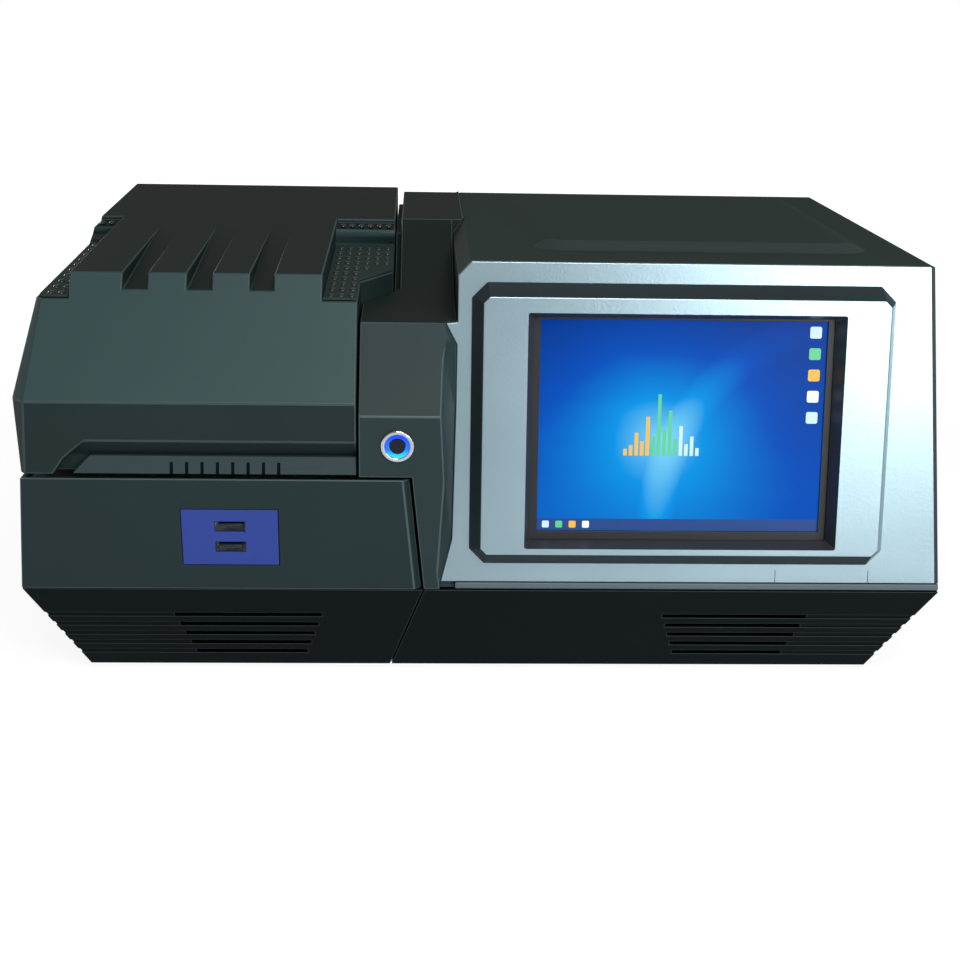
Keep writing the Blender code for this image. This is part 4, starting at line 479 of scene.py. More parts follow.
@dataclass
class LeaningPlane:
    """A plane that leans about X, given by one level and its depth there."""

    foot_z: float
    foot_y: float
    lean: float

    def depth(self, z: float) -> float:
        """Return the plane's y at one height."""
        return self.foot_y + (z - self.foot_z) * tan(self.lean)

    def sheared(self, bm: Mesh, level: float) -> Mesh:
        """Shear an upright mesh, drawn at y zero, to a level behind the plane."""
        for vert in bm.verts:
            vert.co.y += self.depth(vert.co.z) + level
        return bm


@dataclass
class Skin:
    """A copy of a CAD shell with rounded edges, a painted highlight on its convex rounded edges and painted
    shade on its faces that look up.
    """

    node: str
    finish: Finish
    width: float = 0.0008
    body: str = "base"
    sharp: float = 18.0
    edge_highlight: Finish | None = None
    crown: Finish | None = None
    shaded_top_level: float = 0.85
    weld: float = 0.000002
    flat: float = radians(0.6)
    shortest: float = 3.0

    def carved(self, bm: Mesh) -> None:
        """Change the copy before its edges are rounded."""

    def kept(self, middle: Vector) -> bool:
        """Tell whether an edge at one place stays as it is."""
        return False

    def painted(self, piece: bpy.types.Object) -> None:
        """Paint the faces that look up with the darker crown finish, as painted shade on the tops."""
        if self.crown:
            piece.data.materials.append(self.crown.material())
            index = len(piece.data.materials) - 1
            for face in piece.data.polygons:
                if face.material_index == 0 and face.normal.z > self.shaded_top_level:
                    face.material_index = index

    def build(self) -> bpy.types.Object:
        """Round the shell's long edges, paint its edge highlight and top shade, and put the copy in the
        shell's place.

        Returns:
            The new piece.
        """
        bm = bmesh.new()
        bm.from_mesh(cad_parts[self.node].data)
        bmesh.ops.remove_doubles(bm, verts=bm.verts, dist=self.weld)
        bmesh.ops.dissolve_limit(bm, angle_limit=self.flat, verts=bm.verts, edges=bm.edges)
        self.carved(bm)
        edges = []
        for edge in bm.edges:
            sharp = edge.is_manifold and edge.calc_face_angle(0.0) > radians(self.sharp)
            middle = (edge.verts[0].co + edge.verts[1].co) / 2
            if sharp and edge.calc_length() > self.shortest * self.width and not self.kept(middle):
                edges.append(edge)
        # Convex rounded edges take the lighter edge finish: a painted highlight
        for face in softened(bm, edges, self.width, 3):
            rim = max(face.edges, key=lambda edge: edge.calc_length())
            if self.edge_highlight and rim.is_convex:
                face.material_index = 1
        piece = finished(self.node + "_skin", bm, self.finish, self.body)
        if self.edge_highlight:
            piece.data.materials.append(self.edge_highlight.material())
        self.painted(piece)
        weighted = piece.modifiers.new("weighted", "WEIGHTED_NORMAL")
        weighted.keep_sharp = True
        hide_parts(self.node)
        return piece


@dataclass
class HoodSkin(Skin):
    """The hood's shell, whose curved grip walls stay smooth and whose faces below the front fold take painted
    shade.
    """

    back: float = 0.013
    front: float = 0.001
    chin_level: float = 0.3

    def painted(self, piece: bpy.types.Object) -> None:
        """Paint the faces below the front fold with the darker chin finish, as painted shade."""
        super().painted(piece)
        piece.data.materials.append(Finishes.chin_shade.material())
        index = len(piece.data.materials) - 1
        for face in piece.data.polygons:
            if face.material_index == 0 and face.normal.z < self.chin_level:
                face.material_index = index

    def kept(self, middle: Vector) -> bool:
        """Keep the edges of the curved wall behind each grip pad."""
        low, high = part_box("grip_pad_left")
        return high.y - self.front < middle.y < high.y + self.back and middle.z > low.z


@dataclass
class BodySkin(Skin):
    """The lower left shell, whose panel opening has no painted edge highlight."""

    margin: float = 0.003

    def painted(self, piece: bpy.types.Object) -> None:
        """Take the painted edge highlight off around the panel."""
        low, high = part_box("usb_panel")
        for face in piece.data.polygons:
            middle = face.center
            beside = low.x - self.margin < middle.x < high.x + self.margin
            level = low.z - self.margin < middle.z < high.z + self.margin
            if beside and level and middle.y < high.y + self.margin:
                face.material_index = 0


@dataclass
class ColumnSkin(Skin):
    """The column's cover, with a straight crease beside the fascia."""

    crease_set: float = 0.0002
    crease_reach: Pair = (0.005, 0.002)
    crease_level: float = 0.215
    crease_depth: float = 0.006
    band: Pair = (0.001, 0.0085)
    band_depth: float = 0.03

    def carved(self, bm: Mesh) -> None:
        """Bring the crease's upper point in line with its lower ones."""
        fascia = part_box("silver_fascia")[0]
        far, near = self.crease_reach
        for vert in bm.verts:
            place = vert.co
            beside = fascia.x - far < place.x < fascia.x - near
            if beside and place.z > self.crease_level and place.y < fascia.y + self.crease_depth:
                place.x = fascia.x + self.crease_set

    def kept(self, middle: Vector) -> bool:
        """Keep the flat facet between crease and fascia in one piece."""
        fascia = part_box("silver_fascia")[0]
        start, end = self.band
        beside = fascia.x + start < middle.x < fascia.x + end
        return beside and middle.y < fascia.y + self.band_depth


@dataclass
class HousingSkin(Skin):
    """The display housing, with its forward-facing sill below the fascia painted lighter, as painted light.
    """

    ahead: float = 0.7
    margin: float = 0.001

    def painted(self, piece: bpy.types.Object) -> None:
        """Paint the forward-facing faces below the fascia with the lighter sill finish, as painted light."""
        piece.data.materials.append(Finishes.lit_sill.material())
        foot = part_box("silver_fascia")[0].z
        for face in piece.data.polygons:
            if face.normal.y < -self.ahead and face.center.z < foot + self.margin:
                face.material_index = 1


@dataclass
class BezelSkin(Skin):
    """The screen bezel: silver face, top, left and bottom chamfers painted dark as a painted reflection of
    dark surroundings, and a dark grey throat.
    """

    facing: float = 0.93
    throat: Pair = (0.78, 0.86)
    lit_side: float = 0.5
    dark_reflection_rise: float = 0.3

    def painted(self, piece: bpy.types.Object) -> None:
        """Paint the faces that don't look forward: the throat dark grey, and the chamfers that don't face
        right dark, as painted reflection.
        """
        low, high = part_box(self.node)
        centre = (low + high) / 2
        half = (high - low) / 2
        mesh = piece.data
        mesh.materials.append(Finishes.edge.material())
        mesh.materials.append(Finishes.throat.material())
        ahead = Vector((0.0, -cos(FASCIA_LEAN), sin(FASCIA_LEAN)))
        for face in mesh.polygons:
            if face.normal.dot(ahead) < self.facing:
                away = face.center - centre
                inner = abs(away.x) < half.x * self.throat[0] and abs(away.z) < half.z * self.throat[1]
                if inner:
                    face.material_index = 2
                elif face.normal.x < self.lit_side or face.normal.z > self.dark_reflection_rise:
                    face.material_index = 1


@dataclass
class FasciaSkin(Skin):
    """The silver fascia with the dark strip along its right edge."""

    strip: float = 0.0026
    lean: float = radians(4.4)
    seams: tuple[float, ...] = (0.1906, 0.2522)
    seam_half: float = 0.00022
    seam_height: float = 0.0086
    margin: float = 0.0001
    cut_weld: float = 0.00001

    def plane(self) -> tuple[Vector, Vector]:
        """Return a point and the normal of the strip's border."""
        low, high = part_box(self.node)
        outward = Vector((cos(self.lean), 0.0, sin(self.lean)))
        return Vector((high.x, low.y, low.z)) - outward * self.strip, outward

    def carved(self, bm: Mesh) -> None:
        """Cut the borders of the strip and the seams into the faces."""
        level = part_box(self.node)[0].z + self.seam_height
        planes = [self.plane(), (Vector((0.0, 0.0, level)), Vector((0.0, 0.0, 1.0)))]
        for point, outward in planes:
            geometry = bm.verts[:] + bm.edges[:] + bm.faces[:]
            bmesh.ops.bisect_plane(bm, geom=geometry, dist=self.cut_weld, plane_co=point, plane_no=outward)
        for place in self.seams:
            for side in (-self.seam_half, self.seam_half):
                highest = level + self.margin
                faces = [face for face in bm.faces if all(vert.co.z < highest for vert in face.verts)]
                edges = {edge for face in faces for edge in face.edges}
                verts = {vert for face in faces for vert in face.verts}
                point = Vector((place + side, 0.0, 0.0))
                bmesh.ops.bisect_plane(bm, geom=list(verts) + list(edges) + faces, dist=self.cut_weld,
                                       plane_co=point, plane_no=Vector((1.0, 0.0, 0.0)))

    def painted(self, piece: bpy.types.Object) -> None:
        """Paint the strip and the seams."""
        piece.data.materials.append(Finishes.edge.material())
        point, outward = self.plane()
        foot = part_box(self.node)[0].z
        for face in piece.data.polygons:
            middle = face.center
            seam = any(abs(middle.x - place) < self.seam_half for place in self.seams)
            if (middle - point).dot(outward) > 0.0 or (seam and middle.z < foot + self.seam_height):
                face.material_index = 1


@dataclass
class InsertSkin(Skin):
    """The handle insert, with painted shade in its slots."""

    slot: float = 0.0034
    slots_from: float = 0.05
    slots_to: float = 0.02

    def painted(self, piece: bpy.types.Object) -> None:
        """Darken the walls and floors of the slots with the base enamel, as painted shade."""
        low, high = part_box(self.node)
        mesh = piece.data
        mesh.materials.append(Finishes.base.material())
        for face in mesh.polygons:
            across = [mesh.vertices[index].co.x for index in face.vertices]
            inside = low.x + self.slots_from < face.center.x < high.x - self.slots_to
            if inside and max(across) - min(across) < self.slot:
                face.material_index = 1


@dataclass
class Shells:
    """The rounded shells of base, body, hood, column and housing."""

    def build(self) -> None:
        """Make every rounded shell."""
        paint = Finishes
        for skin in (
            HoodSkin("lid_shell", paint.hood, 0.0010, "hood", edge_highlight=paint.hood_edge_highlight, crown=paint.crown),
            BodySkin("left_body_shell", paint.body, 0.0008, edge_highlight=paint.edge_highlight),
            ColumnSkin("center_cover", paint.column, 0.0008, edge_highlight=paint.edge_highlight, crown=paint.crown,
                       shaded_top_level=0.62),
            HousingSkin("right_housing", paint.top, 0.0010),
            Skin("left_base_cover", paint.base, 0.0005, edge_highlight=paint.base_edge_highlight),
            Skin("right_base_cover", paint.base, 0.0005, edge_highlight=paint.base_edge_highlight),
            FasciaSkin("silver_fascia", paint.silver, 0.0006),
            BezelSkin("screen_bezel", paint.silver, 0.0009),
            Skin("screen_mask", paint.frame_dark, 0.0003),
            InsertSkin("handle_insert", paint.insert, 0.0003, "hood"),
            Skin("usb_panel", paint.blue, 0.0004),
            Skin("rear_panel", paint.crown, 0.0003),
            Skin("power_rocker", paint.black, 0.0005, "rocker"),
            # The grip pads take the darker top enamel instead of the hood's, as painted shade
            Skin("grip_pad_left", paint.top, 0.0003, "hood"),
            Skin("grip_pad_right", paint.top, 0.0003, "hood"),
        ):
            skin.build()


@dataclass
class TopPanel:
    """The softly raised panel on the housing's top."""

    radius: float = 0.024
    profile: tuple[Pair, ...] = (
        (0.0, -0.0002), (0.0008, 0.0), (0.0030, 0.0005), (0.0062, 0.0018), (0.0094, 0.0034), (0.0122, 0.0044),
        (0.0150, 0.0049), (0.0185, 0.0050), (0.0300, 0.0050))

    def build(self) -> None:
        """Loft the panel and put it in the plain one's place."""
        low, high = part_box("top_panel")
        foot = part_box("right_housing")[1].z
        rings = [rounded_plan(low, high, self.radius, inset, foot + rise) for inset, rise in self.profile]
        panel = finished("top_panel_soft", lofted(rings), Finishes.top, "base", 60.0)
        # The panel's forward-facing slope is painted lighter: painted light
        panel.data.materials.append(Finishes.lit_panel_slope.material())
        for face in panel.data.polygons:
            if face.normal.y < -0.08:
                face.material_index = 1
        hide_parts("top_panel")


@dataclass
class GripStuds:
    """Rows of studs on the two grip pads and the shelf behind them."""

    pitch_x: float = 0.0067
    pitch_y: float = 0.0165
    half_x: float = 0.0022
    half_y: float = 0.0032
    height: float = 0.0012
    edge: float = 0.0048
    shelf_set: float = 0.018
    shelf_rise: float = 0.0113
    shelf_slope: float = 0.02
    pad_thick: float = 0.0015
    first_row: float = 1.3
    cut_x: float = 0.021
    cut_y: float = 0.086
    cut_slope: float = 0.7
    corner_x: float = 0.007
    corner_rows: int = 3
    end_gap: float = 0.001
    steps: int = 14
    dome: tuple[Pair, ...] = ((1.0, -0.3), (0.96, 0.25), (0.80, 0.70), (0.48, 0.95))

    def stud(self, x: float, y: float, z: float, slope: float) -> Mesh:
        """Return one domed stud.

        Args:
            x: Its place across.
            y: Its place in depth.
            z: Its foot.
            slope: The pad's rise per depth.

        Returns:
            The stud.
        """
        rings = []
        for reach, rise in self.dome:
            ring = []
            for step in range(self.steps):
                angle = 2 * pi * step / self.steps
                along = self.half_y * reach * sin(angle)
                ring.append((x + self.half_x * reach * cos(angle), y + along,
                             z + self.height * rise + along * slope))
            rings.append(ring)
        return lofted(rings)

    def held(self, right: bool, along: float, back: float, row: int) -> bool:
        """Tell whether a pad's cut corner leaves room, by the distances from its left and front edge."""
        if right:
            slant = self.cut_y + (along - self.cut_x) * self.cut_slope
            return along < self.cut_x or back > slant
        return not (along < self.corner_x and row < self.corner_rows)

    def build(self) -> None:
        """Stud both pads and shelves."""
        for name in ("left", "right"):
            right = name == "right"
            low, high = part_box("grip_pad_" + name)
            slope = (high.z - low.z - self.pad_thick) / (high.y - low.y)
            rows = int((high.y - low.y - 2 * self.edge) / self.pitch_y)
            studs = []
            x = low.x + self.edge if right else high.x - self.edge
            while low.x + self.half_x < x < high.x - self.half_x - self.end_gap:
                for row in range(rows + 1):
                    back = self.edge * self.first_row + row * self.pitch_y
                    if self.held(right, x - low.x, back, row):
                        z = low.z + self.pad_thick + back * slope
                        studs.append(self.stud(x, low.y + back, z, slope))
                shelf = high.z + self.shelf_rise
                studs.append(self.stud(x, high.y + self.shelf_set, shelf, self.shelf_slope))
                x += self.pitch_x if right else -self.pitch_x
            finished("grip_studs_" + name, merged(studs), Finishes.stud, "hood")


@dataclass
class Button:
    """The lit push button, with rounded cap and bezel and a shaded light ring."""

    rounding: float = 0.0006
    glow: float = 1.25
    cloud: float = 0.08
    stops: tuple = ((0.05, (0.02, 0.62, 1.0, 1.0)), (0.35, (0.0, 0.16, 1.0, 1.0)),
                    (0.9, (0.0, 0.035, 0.75, 1.0)))

    def light(self) -> bpy.types.Material:
        """Return the ring's light, paler towards its foot."""
        recipe = Recipe("ring light")
        low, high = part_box("button_light_ring")
        split = recipe.make("ShaderNodeSeparateXYZ", Vector=recipe.place)
        up = (recipe.signal(split.outputs["Z"]) - low.z) / (high.z - low.z)
        grain = recipe.noise(700.0, 2.0)
        share = up + grain * self.cloud - self.cloud / 2
        ramp = recipe.make("ShaderNodeValToRGB", {"stops": self.stops}, Fac=share)
        recipe.link(ramp.outputs[0], "Emission Color")
        recipe.fixed(Emission_Strength=self.glow, Base_Color=(0.01, 0.03, 0.12, 1.0), Roughness=0.3,
                     Specular_IOR_Level=0.2)
        return recipe.material

    def build(self) -> None:
        """Round the three parts and light the ring."""
        Skin("button_bezel", Finishes.chrome, self.rounding).build()
        Skin("button_cap", Finishes.cap, self.rounding, "button").build()
        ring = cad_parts["button_light_ring"].data
        ring.materials.clear()
        ring.materials.append(self.light())


@dataclass
class Sockets:
    """Tongues in the two USB sockets."""

    width: float = 0.0150
    thick: float = 0.0022
    length: float = 0.012
    lift: float = 0.0071
    ahead: float = 0.0008
    above: float = 0.0006
    rounding: float = 0.0002

    def build(self) -> None:
        """Put a tongue in each socket."""
        low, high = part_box("usb_sockets")
        x = (low.x + high.x) / 2
        middle = (low.z + high.z) / 2
        tongues = []
        for side in (-1, 1):
            z = middle + side * self.lift + self.above
            front = low.y - self.ahead
            corner = Vector((x - self.width / 2, front, z - self.thick / 2))
            far = Vector((x + self.width / 2, front + self.length, z + self.thick / 2))
            tongues.append(slab(corner, far, self.rounding))
        finished("usb_tongues", merged(tongues), Finishes.tongue, "base")


class Tone(Enum):
    """Colours of the generic tiles on the screen."""

    PALE = (0.55, 0.75, 1.0)
    GREEN = (0.10, 0.55, 0.25)
    AMBER = (0.90, 0.45, 0.05)
    DEEP = (0.01, 0.05, 0.22)
    WHITE = (0.85, 0.92, 1.0)


@dataclass
class Screen:
    """The lit picture behind the mask, with a plain generic layout."""

    tile: float = 0.0075
    tile_step: float = 1.25
    tile_rounding: float = 0.0012
    small_tile: float = 0.6
    small_step: float = 0.7
    small_rounding: float = 0.0008
    gap: float = 0.0035
    strip: float = 0.0075
    bar_pitch: float = 0.0036
    bar_share: float = 0.62
    bar_height: float = 0.042
    bars: tuple[float, ...] = (0.10, 0.16, 0.35, 0.22, 0.60, 0.30, 0.95, 0.42, 0.70, 0.26, 0.46, 0.18, 0.30,
                               0.12)
    chart: Pair = (0.30, 0.36)
    mask_side: float = 0.0085
    mask_foot: float = 0.0067
    lay: float = 0.0030
    step: float = 0.0001
    leaf: float = 0.0002
    glass: float = 0.0015
    glow: float = 1.0
    tile_glow: float = 0.95
    centre: Pair = (0.42, 0.46)
    arc_centre: Pair = (1.05, 0.10)
    arc_reach: float = 0.62
    stops: tuple = ((0.0, (0.0, 0.018, 0.18, 1.0)), (0.35, (0.0, 0.080, 0.50, 1.0)),
                    (0.68, (0.0, 0.30, 0.80, 1.0)), (1.0, (0.20, 0.68, 0.95, 1.0)))
    plane: LeaningPlane = field(default_factory=lambda: Screen.fascia())

    @staticmethod
    def fascia() -> LeaningPlane:
        """Return the fascia's front plane."""
        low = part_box("silver_fascia")[0]
        return LeaningPlane(low.z, low.y, FASCIA_LEAN)

    def picture(self) -> bpy.types.Material:
        """Return the screen's blue gradient with a soft glow."""
        recipe = Recipe("screen picture")
        low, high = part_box("screen_mask")
        split = recipe.make("ShaderNodeSeparateXYZ", Vector=recipe.place)
        across = (recipe.signal(split.outputs["X"]) - low.x) / (high.x - low.x)
        up = (recipe.signal(split.outputs["Z"]) - low.z) / (high.z - low.z)
        dx = across - self.centre[0]
        dy = up - self.centre[1]
        ring = (dx * dx + dy * dy * 0.7) ** 0.5
        near = (1.0 - ring * 1.6).capped(0.0, 1.0) ** 2.0
        waves = recipe.noise(1.0, 2.0, recipe.stretched((9.0, 1.0, 26.0)))
        arc_x = across - self.arc_centre[0]
        arc_y = up - self.arc_centre[1]
        away = (arc_x * arc_x + arc_y * arc_y * 0.55) ** 0.5 - self.arc_reach
        beam = (1.0 - away * away * 260.0).capped(0.0, 1.0) * (1.0 - across).capped(0.0, 1.0)
        foot = (1.0 - up).capped(0.0, 1.0)
        share = (near * 0.72 + foot * 0.29 + waves * 0.14 + beam * 0.26 + 0.03).capped(0.0, 1.0)
        ramp = recipe.make("ShaderNodeValToRGB", {"stops": self.stops}, Fac=share)
        recipe.link(ramp.outputs[0], "Emission Color")
        recipe.fixed(Emission_Strength=self.glow, Base_Color=(0.002, 0.004, 0.01, 1.0), Roughness=0.25,
                     Specular_IOR_Level=0.04)
        return recipe.material

    def plate(self, corner: Pair, size: Pair, level: float,
              thick: float, width: float = 0.0) -> Mesh:
        """Return a thin plate on the fascia's plane.

        Args:
            corner: The x and z of its lower left corner.
            size: Its width and height.
            level: How far its front lies behind the plane.
            thick: Its thickness.
            width: The rounding of its corners.

        Returns:
            The plate.
        """
        x, z = corner
        bm = slab(Vector((x, 0.0, z)), Vector((x + size[0], thick, z + size[1])))
        if width:
            along = [e for e in bm.edges if abs(e.verts[0].co.y - e.verts[1].co.y) > thick / 2]
            softened(bm, along, width, 3)
        return self.plane.sheared(bm, level)

    def layout(self) -> dict[Tone, list[Mesh]]:
        """Return the plates of the strip, the tiles and the bars, by tone."""
        low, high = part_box("screen_mask")
        left, right = low.x + self.mask_side, high.x - self.mask_side
        foot, top = low.z + self.mask_foot, high.z - self.mask_foot
        level = self.lay + self.step
        groups: dict[Tone, list[Mesh]] = {tone: [] for tone in Tone}
        groups[Tone.DEEP].append(self.plate((left, foot), (right - left, self.strip), level, self.leaf))
        tones = (Tone.PALE, Tone.GREEN, Tone.AMBER, Tone.WHITE, Tone.PALE)
        x = right - self.gap - self.tile
        for index, tone in enumerate(tones):
            z = top - self.gap - self.tile - index * (self.tile + self.gap) * self.tile_step
            size = (self.tile, self.tile)
            groups[tone].append(self.plate((x, z), size, level, self.leaf, self.tile_rounding))
        small = self.tile * self.small_tile
        for index, tone in enumerate(tones[:-1]):
            x = left + self.gap + index * (self.tile * self.small_step + self.gap)
            z = foot + (self.strip - small) / 2
            plate = self.plate((x, z), (small, small), level - self.step, self.leaf, self.small_rounding)
            groups[tone].append(plate)
        start = left + (right - left) * self.chart[0]
        floor = foot + (top - foot) * self.chart[1]
        palette = (Tone.AMBER, Tone.GREEN, Tone.PALE)
        for index, height in enumerate(self.bars):
            tone = palette[index * len(palette) // len(self.bars)]
            size = (self.bar_pitch * self.bar_share, height * self.bar_height)
            groups[tone].append(self.plate((start + index * self.bar_pitch, floor), size, level, self.leaf))
        return groups

    def build(self) -> None:
        """Make the picture, its strip, its tiles and its bars."""
        low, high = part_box("display_glass")
        size = (high.x - low.x, high.z - low.z)
        bm = self.plate((low.x, low.z), size, self.lay + 3 * self.step, self.glass)
        picture = finished("screen_picture", bm, Finishes.frame_dark, "base")
        picture.data.materials[0] = self.picture()
        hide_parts("display_glass")
        for tone, plates in self.layout().items():
            name = tone.name.lower()
            finish = Finish("screen tile " + name, tone.value, 0.3, 0.0, Texture.LIT, glow=self.tile_glow)
            finished("screen_tiles_" + name, merged(plates), finish, "base")


@dataclass
class Fixings:
    """Screws of hinges, rear panel, deck and stage."""

    inset: float = 0.010
    leaf_inset: float = 1.2
    leaf_level: float = 0.0015
    panel_inset: float = 0.004
    stage_inset: float = 0.7
    stage_screws: int = 6
    deck_shares: tuple[float, ...] = (0.06, 0.35, 0.64, 0.93)
    head: ScrewHead = ScrewHead()
    panel_head: ScrewHead = ScrewHead(0.0026)
    stage_head: ScrewHead = ScrewHead(0.0024)

    def leaves(self, back: Matrix) -> None:
        """Screw the hinge leaves to body and hood."""
        for hand in ("left", "right"):
            for node, body in (("body_leaf_", "base"), ("lid_leaf_", "hood")):
                low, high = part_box(node + hand)
                reach = self.inset * self.leaf_inset
                z = low.z + reach if body == "base" else high.z - reach
                heads = []
                for x in (low.x + self.inset, (low.x + high.x) / 2, high.x - self.inset):
                    place = Matrix.Translation((x, low.y + self.leaf_level, z))
                    heads.append(self.head.placed(place @ back))
                finished(node + hand + "_screws", merged(heads), Finishes.zinc, body)

    def panel(self, back: Matrix) -> None:
        """Screw the rear panel to the housing."""
        low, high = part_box("rear_panel")
        heads = []
        for x in (low.x + self.panel_inset, high.x - self.panel_inset):
            for z in (low.z + self.panel_inset, (low.z + high.z) / 2, high.z - self.panel_inset):
                heads.append(self.panel_head.placed(Matrix.Translation((x, high.y, z)) @ back))
        finished("rear_panel_screws", merged(heads), Finishes.zinc, "base")

    def deck(self) -> None:
        """Screw the deck and its stage plate down."""
        low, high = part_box("chamber_deck")
        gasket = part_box("chamber_gasket")
        heads = []
        for x in ((low.x + gasket[0].x) / 2, gasket[1].x + self.inset):
            for share in self.deck_shares:
                y = low.y + (high.y - low.y) * share
                heads.append(self.head.placed(Matrix.Translation((x, y, high.z))))
        low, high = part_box("stage_plate")
        middle = (low + high) / 2
        reach = (high.x - low.x) / 2 - self.inset * self.stage_inset
        for index in range(self.stage_screws):
            angle = 2 * pi * (index + 0.5) / self.stage_screws
            place = (middle.x + reach * cos(angle), middle.y + reach * sin(angle), high.z)
            heads.append(self.stage_head.placed(Matrix.Translation(place)))
        finished("deck_screws", merged(heads), Finishes.zinc, "base")

    def build(self) -> None:
        """Put the screw heads on their plates."""
        back = Matrix.Rotation(-pi / 2, 4, "X")
        self.leaves(back)
        self.panel(back)
        self.deck()


@dataclass
class Interior:
    """Plain procedural finishes of the nodes that keep their own shape."""

    def build(self) -> None:
        """Dress every remaining node."""
        paint = Finishes
        table = {
            paint.steel: ("chassis_plate", "usb_sockets", "chamber_deck", "lid_liner", "motor_stand",
                          "detector", "button_nut", "display_tray", "body_leaf", "lid_leaf", "hinge_pin"),
            paint.rubber: ("foot", "chamber_gasket"),
            paint.aluminium: ("stage_plate", "head_block", "collimator_wheel", "power_supply"),
            paint.lead: ("stage_ring", "tube_shield", "hv_supply"),
            paint.black: ("button_terminal_block", "fan", "power_inlet", "rocker_housing",
                          "collimator_motor", "sample_camera", "display_panel"),
            paint.brass: ("xray_tube",),
            paint.board: ("main_board",),
            paint.film: ("window_film",),
        }
        for finish, starts in table.items():
            for node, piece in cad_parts.items():
                if node.startswith(starts):
                    piece.data.materials.clear()
                    piece.data.materials.append(finish.material())


@dataclass(frozen=True)
class Lamp:
    """One soft lamp."""

    name: str
    place: Triple
    aim: Triple
    size: Pair
    power: float

    def hang(self) -> None:
        """Hang the lamp, turned to what it lights."""
        light = bpy.data.lights.new(self.name, "AREA")
        light.shape = "RECTANGLE"
        light.size, light.size_y = self.size
        light.energy = self.power
        lamp = bpy.data.objects.new(self.name, light)
        lamp.location = self.place
        way = Vector(self.aim) - Vector(self.place)
        lamp.rotation_euler = way.to_track_quat("-Z", "Y").to_euler()
        bpy.context.scene.collection.objects.link(lamp)


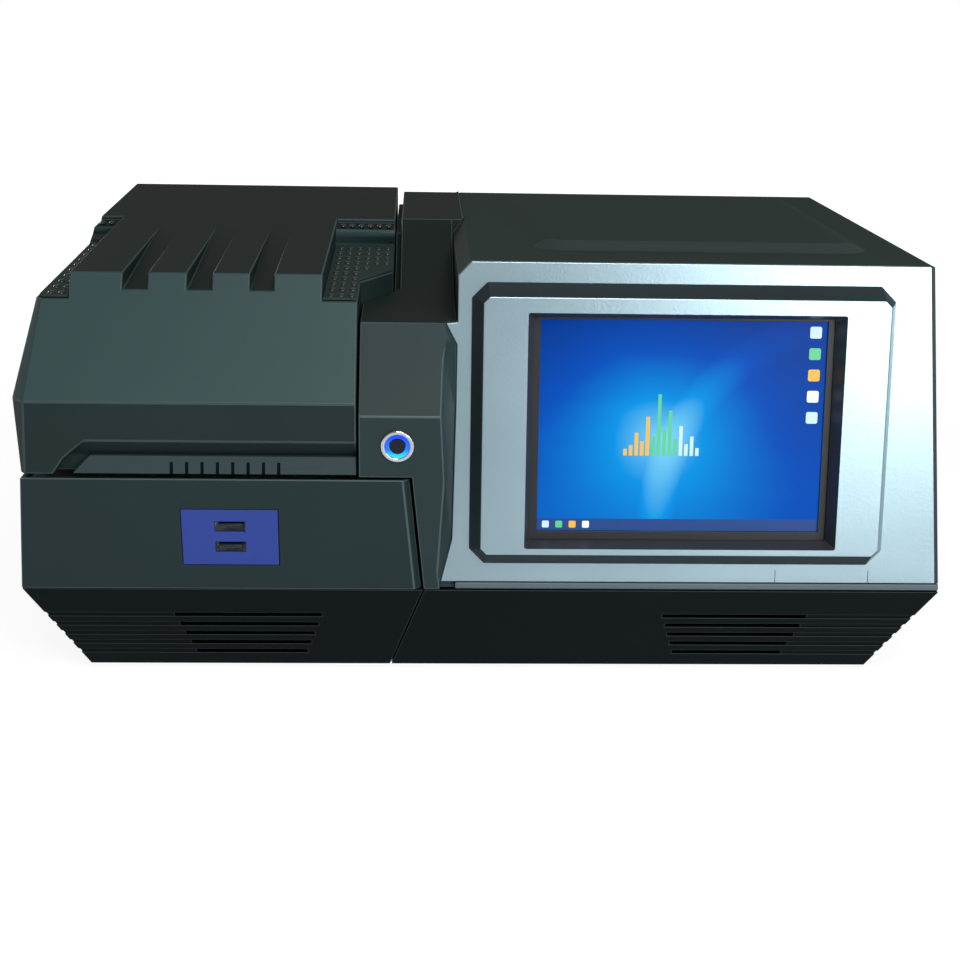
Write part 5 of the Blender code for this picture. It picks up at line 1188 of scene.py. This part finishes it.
@dataclass
class Studio:
    """Pale floor, soft lights and the camera."""

    camera_place: Triple = (-0.0453, -1.1837, 0.4547)
    pitch: float = radians(16.95)
    yaw: float = radians(2.32)
    roll: float = radians(1.08)
    lens: float = 61.3
    sensor: float = 36.0
    sight: float = 50.0
    floor_half: float = 8.0
    floor_glow: float = 1.13
    floor_near: float = 0.7
    floor_ramp: float = 0.9
    floor_shown: float = 0.80
    floor_mirrored: float = 0.35
    shown: float = 0.84
    mirrored: float = 0.06
    ambient: float = 0.16
    lamps: tuple[Lamp, ...] = (
        Lamp("key", (0.35, -2.0, 1.8), (-0.1, 0.0, 0.15), (1.1, 1.1), 47.0),
        Lamp("side", (0.90, -1.60, 0.40), (0.25, -0.15, 0.22), (0.9, 0.5), 12.0),
        Lamp("rear", (-1.75, 2.05, 0.46), (0.0, 0.2, 0.12), (1.2, 0.6), 15.0),
    )

    def floor(self) -> None:
        """Lay a pale floor that keeps the object's shadow."""
        bm = bmesh.new()
        bmesh.ops.create_grid(bm, x_segments=2, y_segments=2, size=self.floor_half)
        mesh = bpy.data.meshes.new("floor")
        bm.to_mesh(mesh)
        bm.free()
        floor = bpy.data.objects.new("floor", mesh)
        bpy.context.scene.collection.objects.link(floor)
        recipe = Recipe("pale floor")
        recipe.fixed(Base_Color=(0.82, 0.82, 0.82, 1.0), Roughness=0.9)
        path = recipe.make("ShaderNodeLightPath")
        glow = recipe.make("ShaderNodeEmission", Color=(1.0, 1.0, 1.0, 1.0), Strength=self.floor_glow)
        split = recipe.make("ShaderNodeSeparateXYZ", Vector=recipe.place)
        x = recipe.signal(split.outputs["X"])
        y = recipe.signal(split.outputs["Y"])
        away = (((x * x + y * y) ** 0.5 - self.floor_near) / self.floor_ramp).capped(0.0, 1.0)
        shown = self.floor_shown + away * (1.0 - self.floor_shown)
        seen = recipe.signal(path.outputs["Is Camera Ray"]) * shown
        mirrored = recipe.signal(path.outputs["Is Glossy Ray"]) * self.floor_mirrored
        share = (seen + mirrored).capped(0.0, 1.0)
        mix = recipe.make("ShaderNodeMixShader", Fac=share)
        recipe.tree.links.new(recipe.surface.outputs[0], mix.inputs[1])
        recipe.tree.links.new(glow.outputs[0], mix.inputs[2])
        output = recipe.tree.nodes["Material Output"]
        recipe.tree.links.new(mix.outputs[0], output.inputs[0])
        mesh.materials.append(recipe.material)

    def world(self) -> None:
        """Set a soft surround that the camera sees as white."""
        world = bpy.data.worlds.new("studio")
        bpy.context.scene.world = world
        world.use_nodes = True
        tree = world.node_tree
        back = tree.nodes["Background"]
        path = tree.nodes.new("ShaderNodeLightPath")
        seen = Signal(tree, path.outputs["Is Camera Ray"])
        through = Signal(tree, path.outputs["Is Transmission Ray"])
        glossy = Signal(tree, path.outputs["Is Glossy Ray"])
        level = (seen + through).capped(0.0, 1.0) * self.shown + glossy * self.mirrored + self.ambient
        tree.links.new(level.socket, back.inputs["Strength"])
        back.inputs["Color"].default_value = (1.0, 1.0, 1.0, 1.0)

    def camera(self) -> None:
        """Place the camera at the photograph's angle."""
        data = bpy.data.cameras.new("camera")
        data.lens = self.lens
        data.sensor_width = self.sensor
        data.clip_end = self.sight
        camera = bpy.data.objects.new("camera", data)
        flat = Vector((sin(self.yaw), cos(self.yaw), 0.0))
        ahead = flat * cos(self.pitch) - Vector((0.0, 0.0, sin(self.pitch)))
        right = Vector((cos(self.yaw), -sin(self.yaw), 0.0))
        above = right.cross(ahead)
        turned_right = right * cos(self.roll) + above * sin(self.roll)
        turned_above = above * cos(self.roll) - right * sin(self.roll)
        axes = Matrix((turned_right, turned_above, -ahead)).transposed()
        camera.matrix_world = Matrix.Translation(self.camera_place) @ axes.to_4x4()
        bpy.context.scene.collection.objects.link(camera)
        bpy.context.scene.camera = camera

    def build(self) -> None:
        """Set the whole studio."""
        bpy.context.scene.view_settings.view_transform = "Standard"
        self.floor()
        self.world()
        for lamp in self.lamps:
            lamp.hang()
        self.camera()


def main() -> None:
    """Build the analyzer's looks in order."""
    Studio().build()
    Shells().build()
    TopPanel().build()
    GripStuds().build()
    Button().build()
    Sockets().build()
    Screen().build()
    Fixings().build()
    Interior().build()


if __name__ == "__main__":
    main()
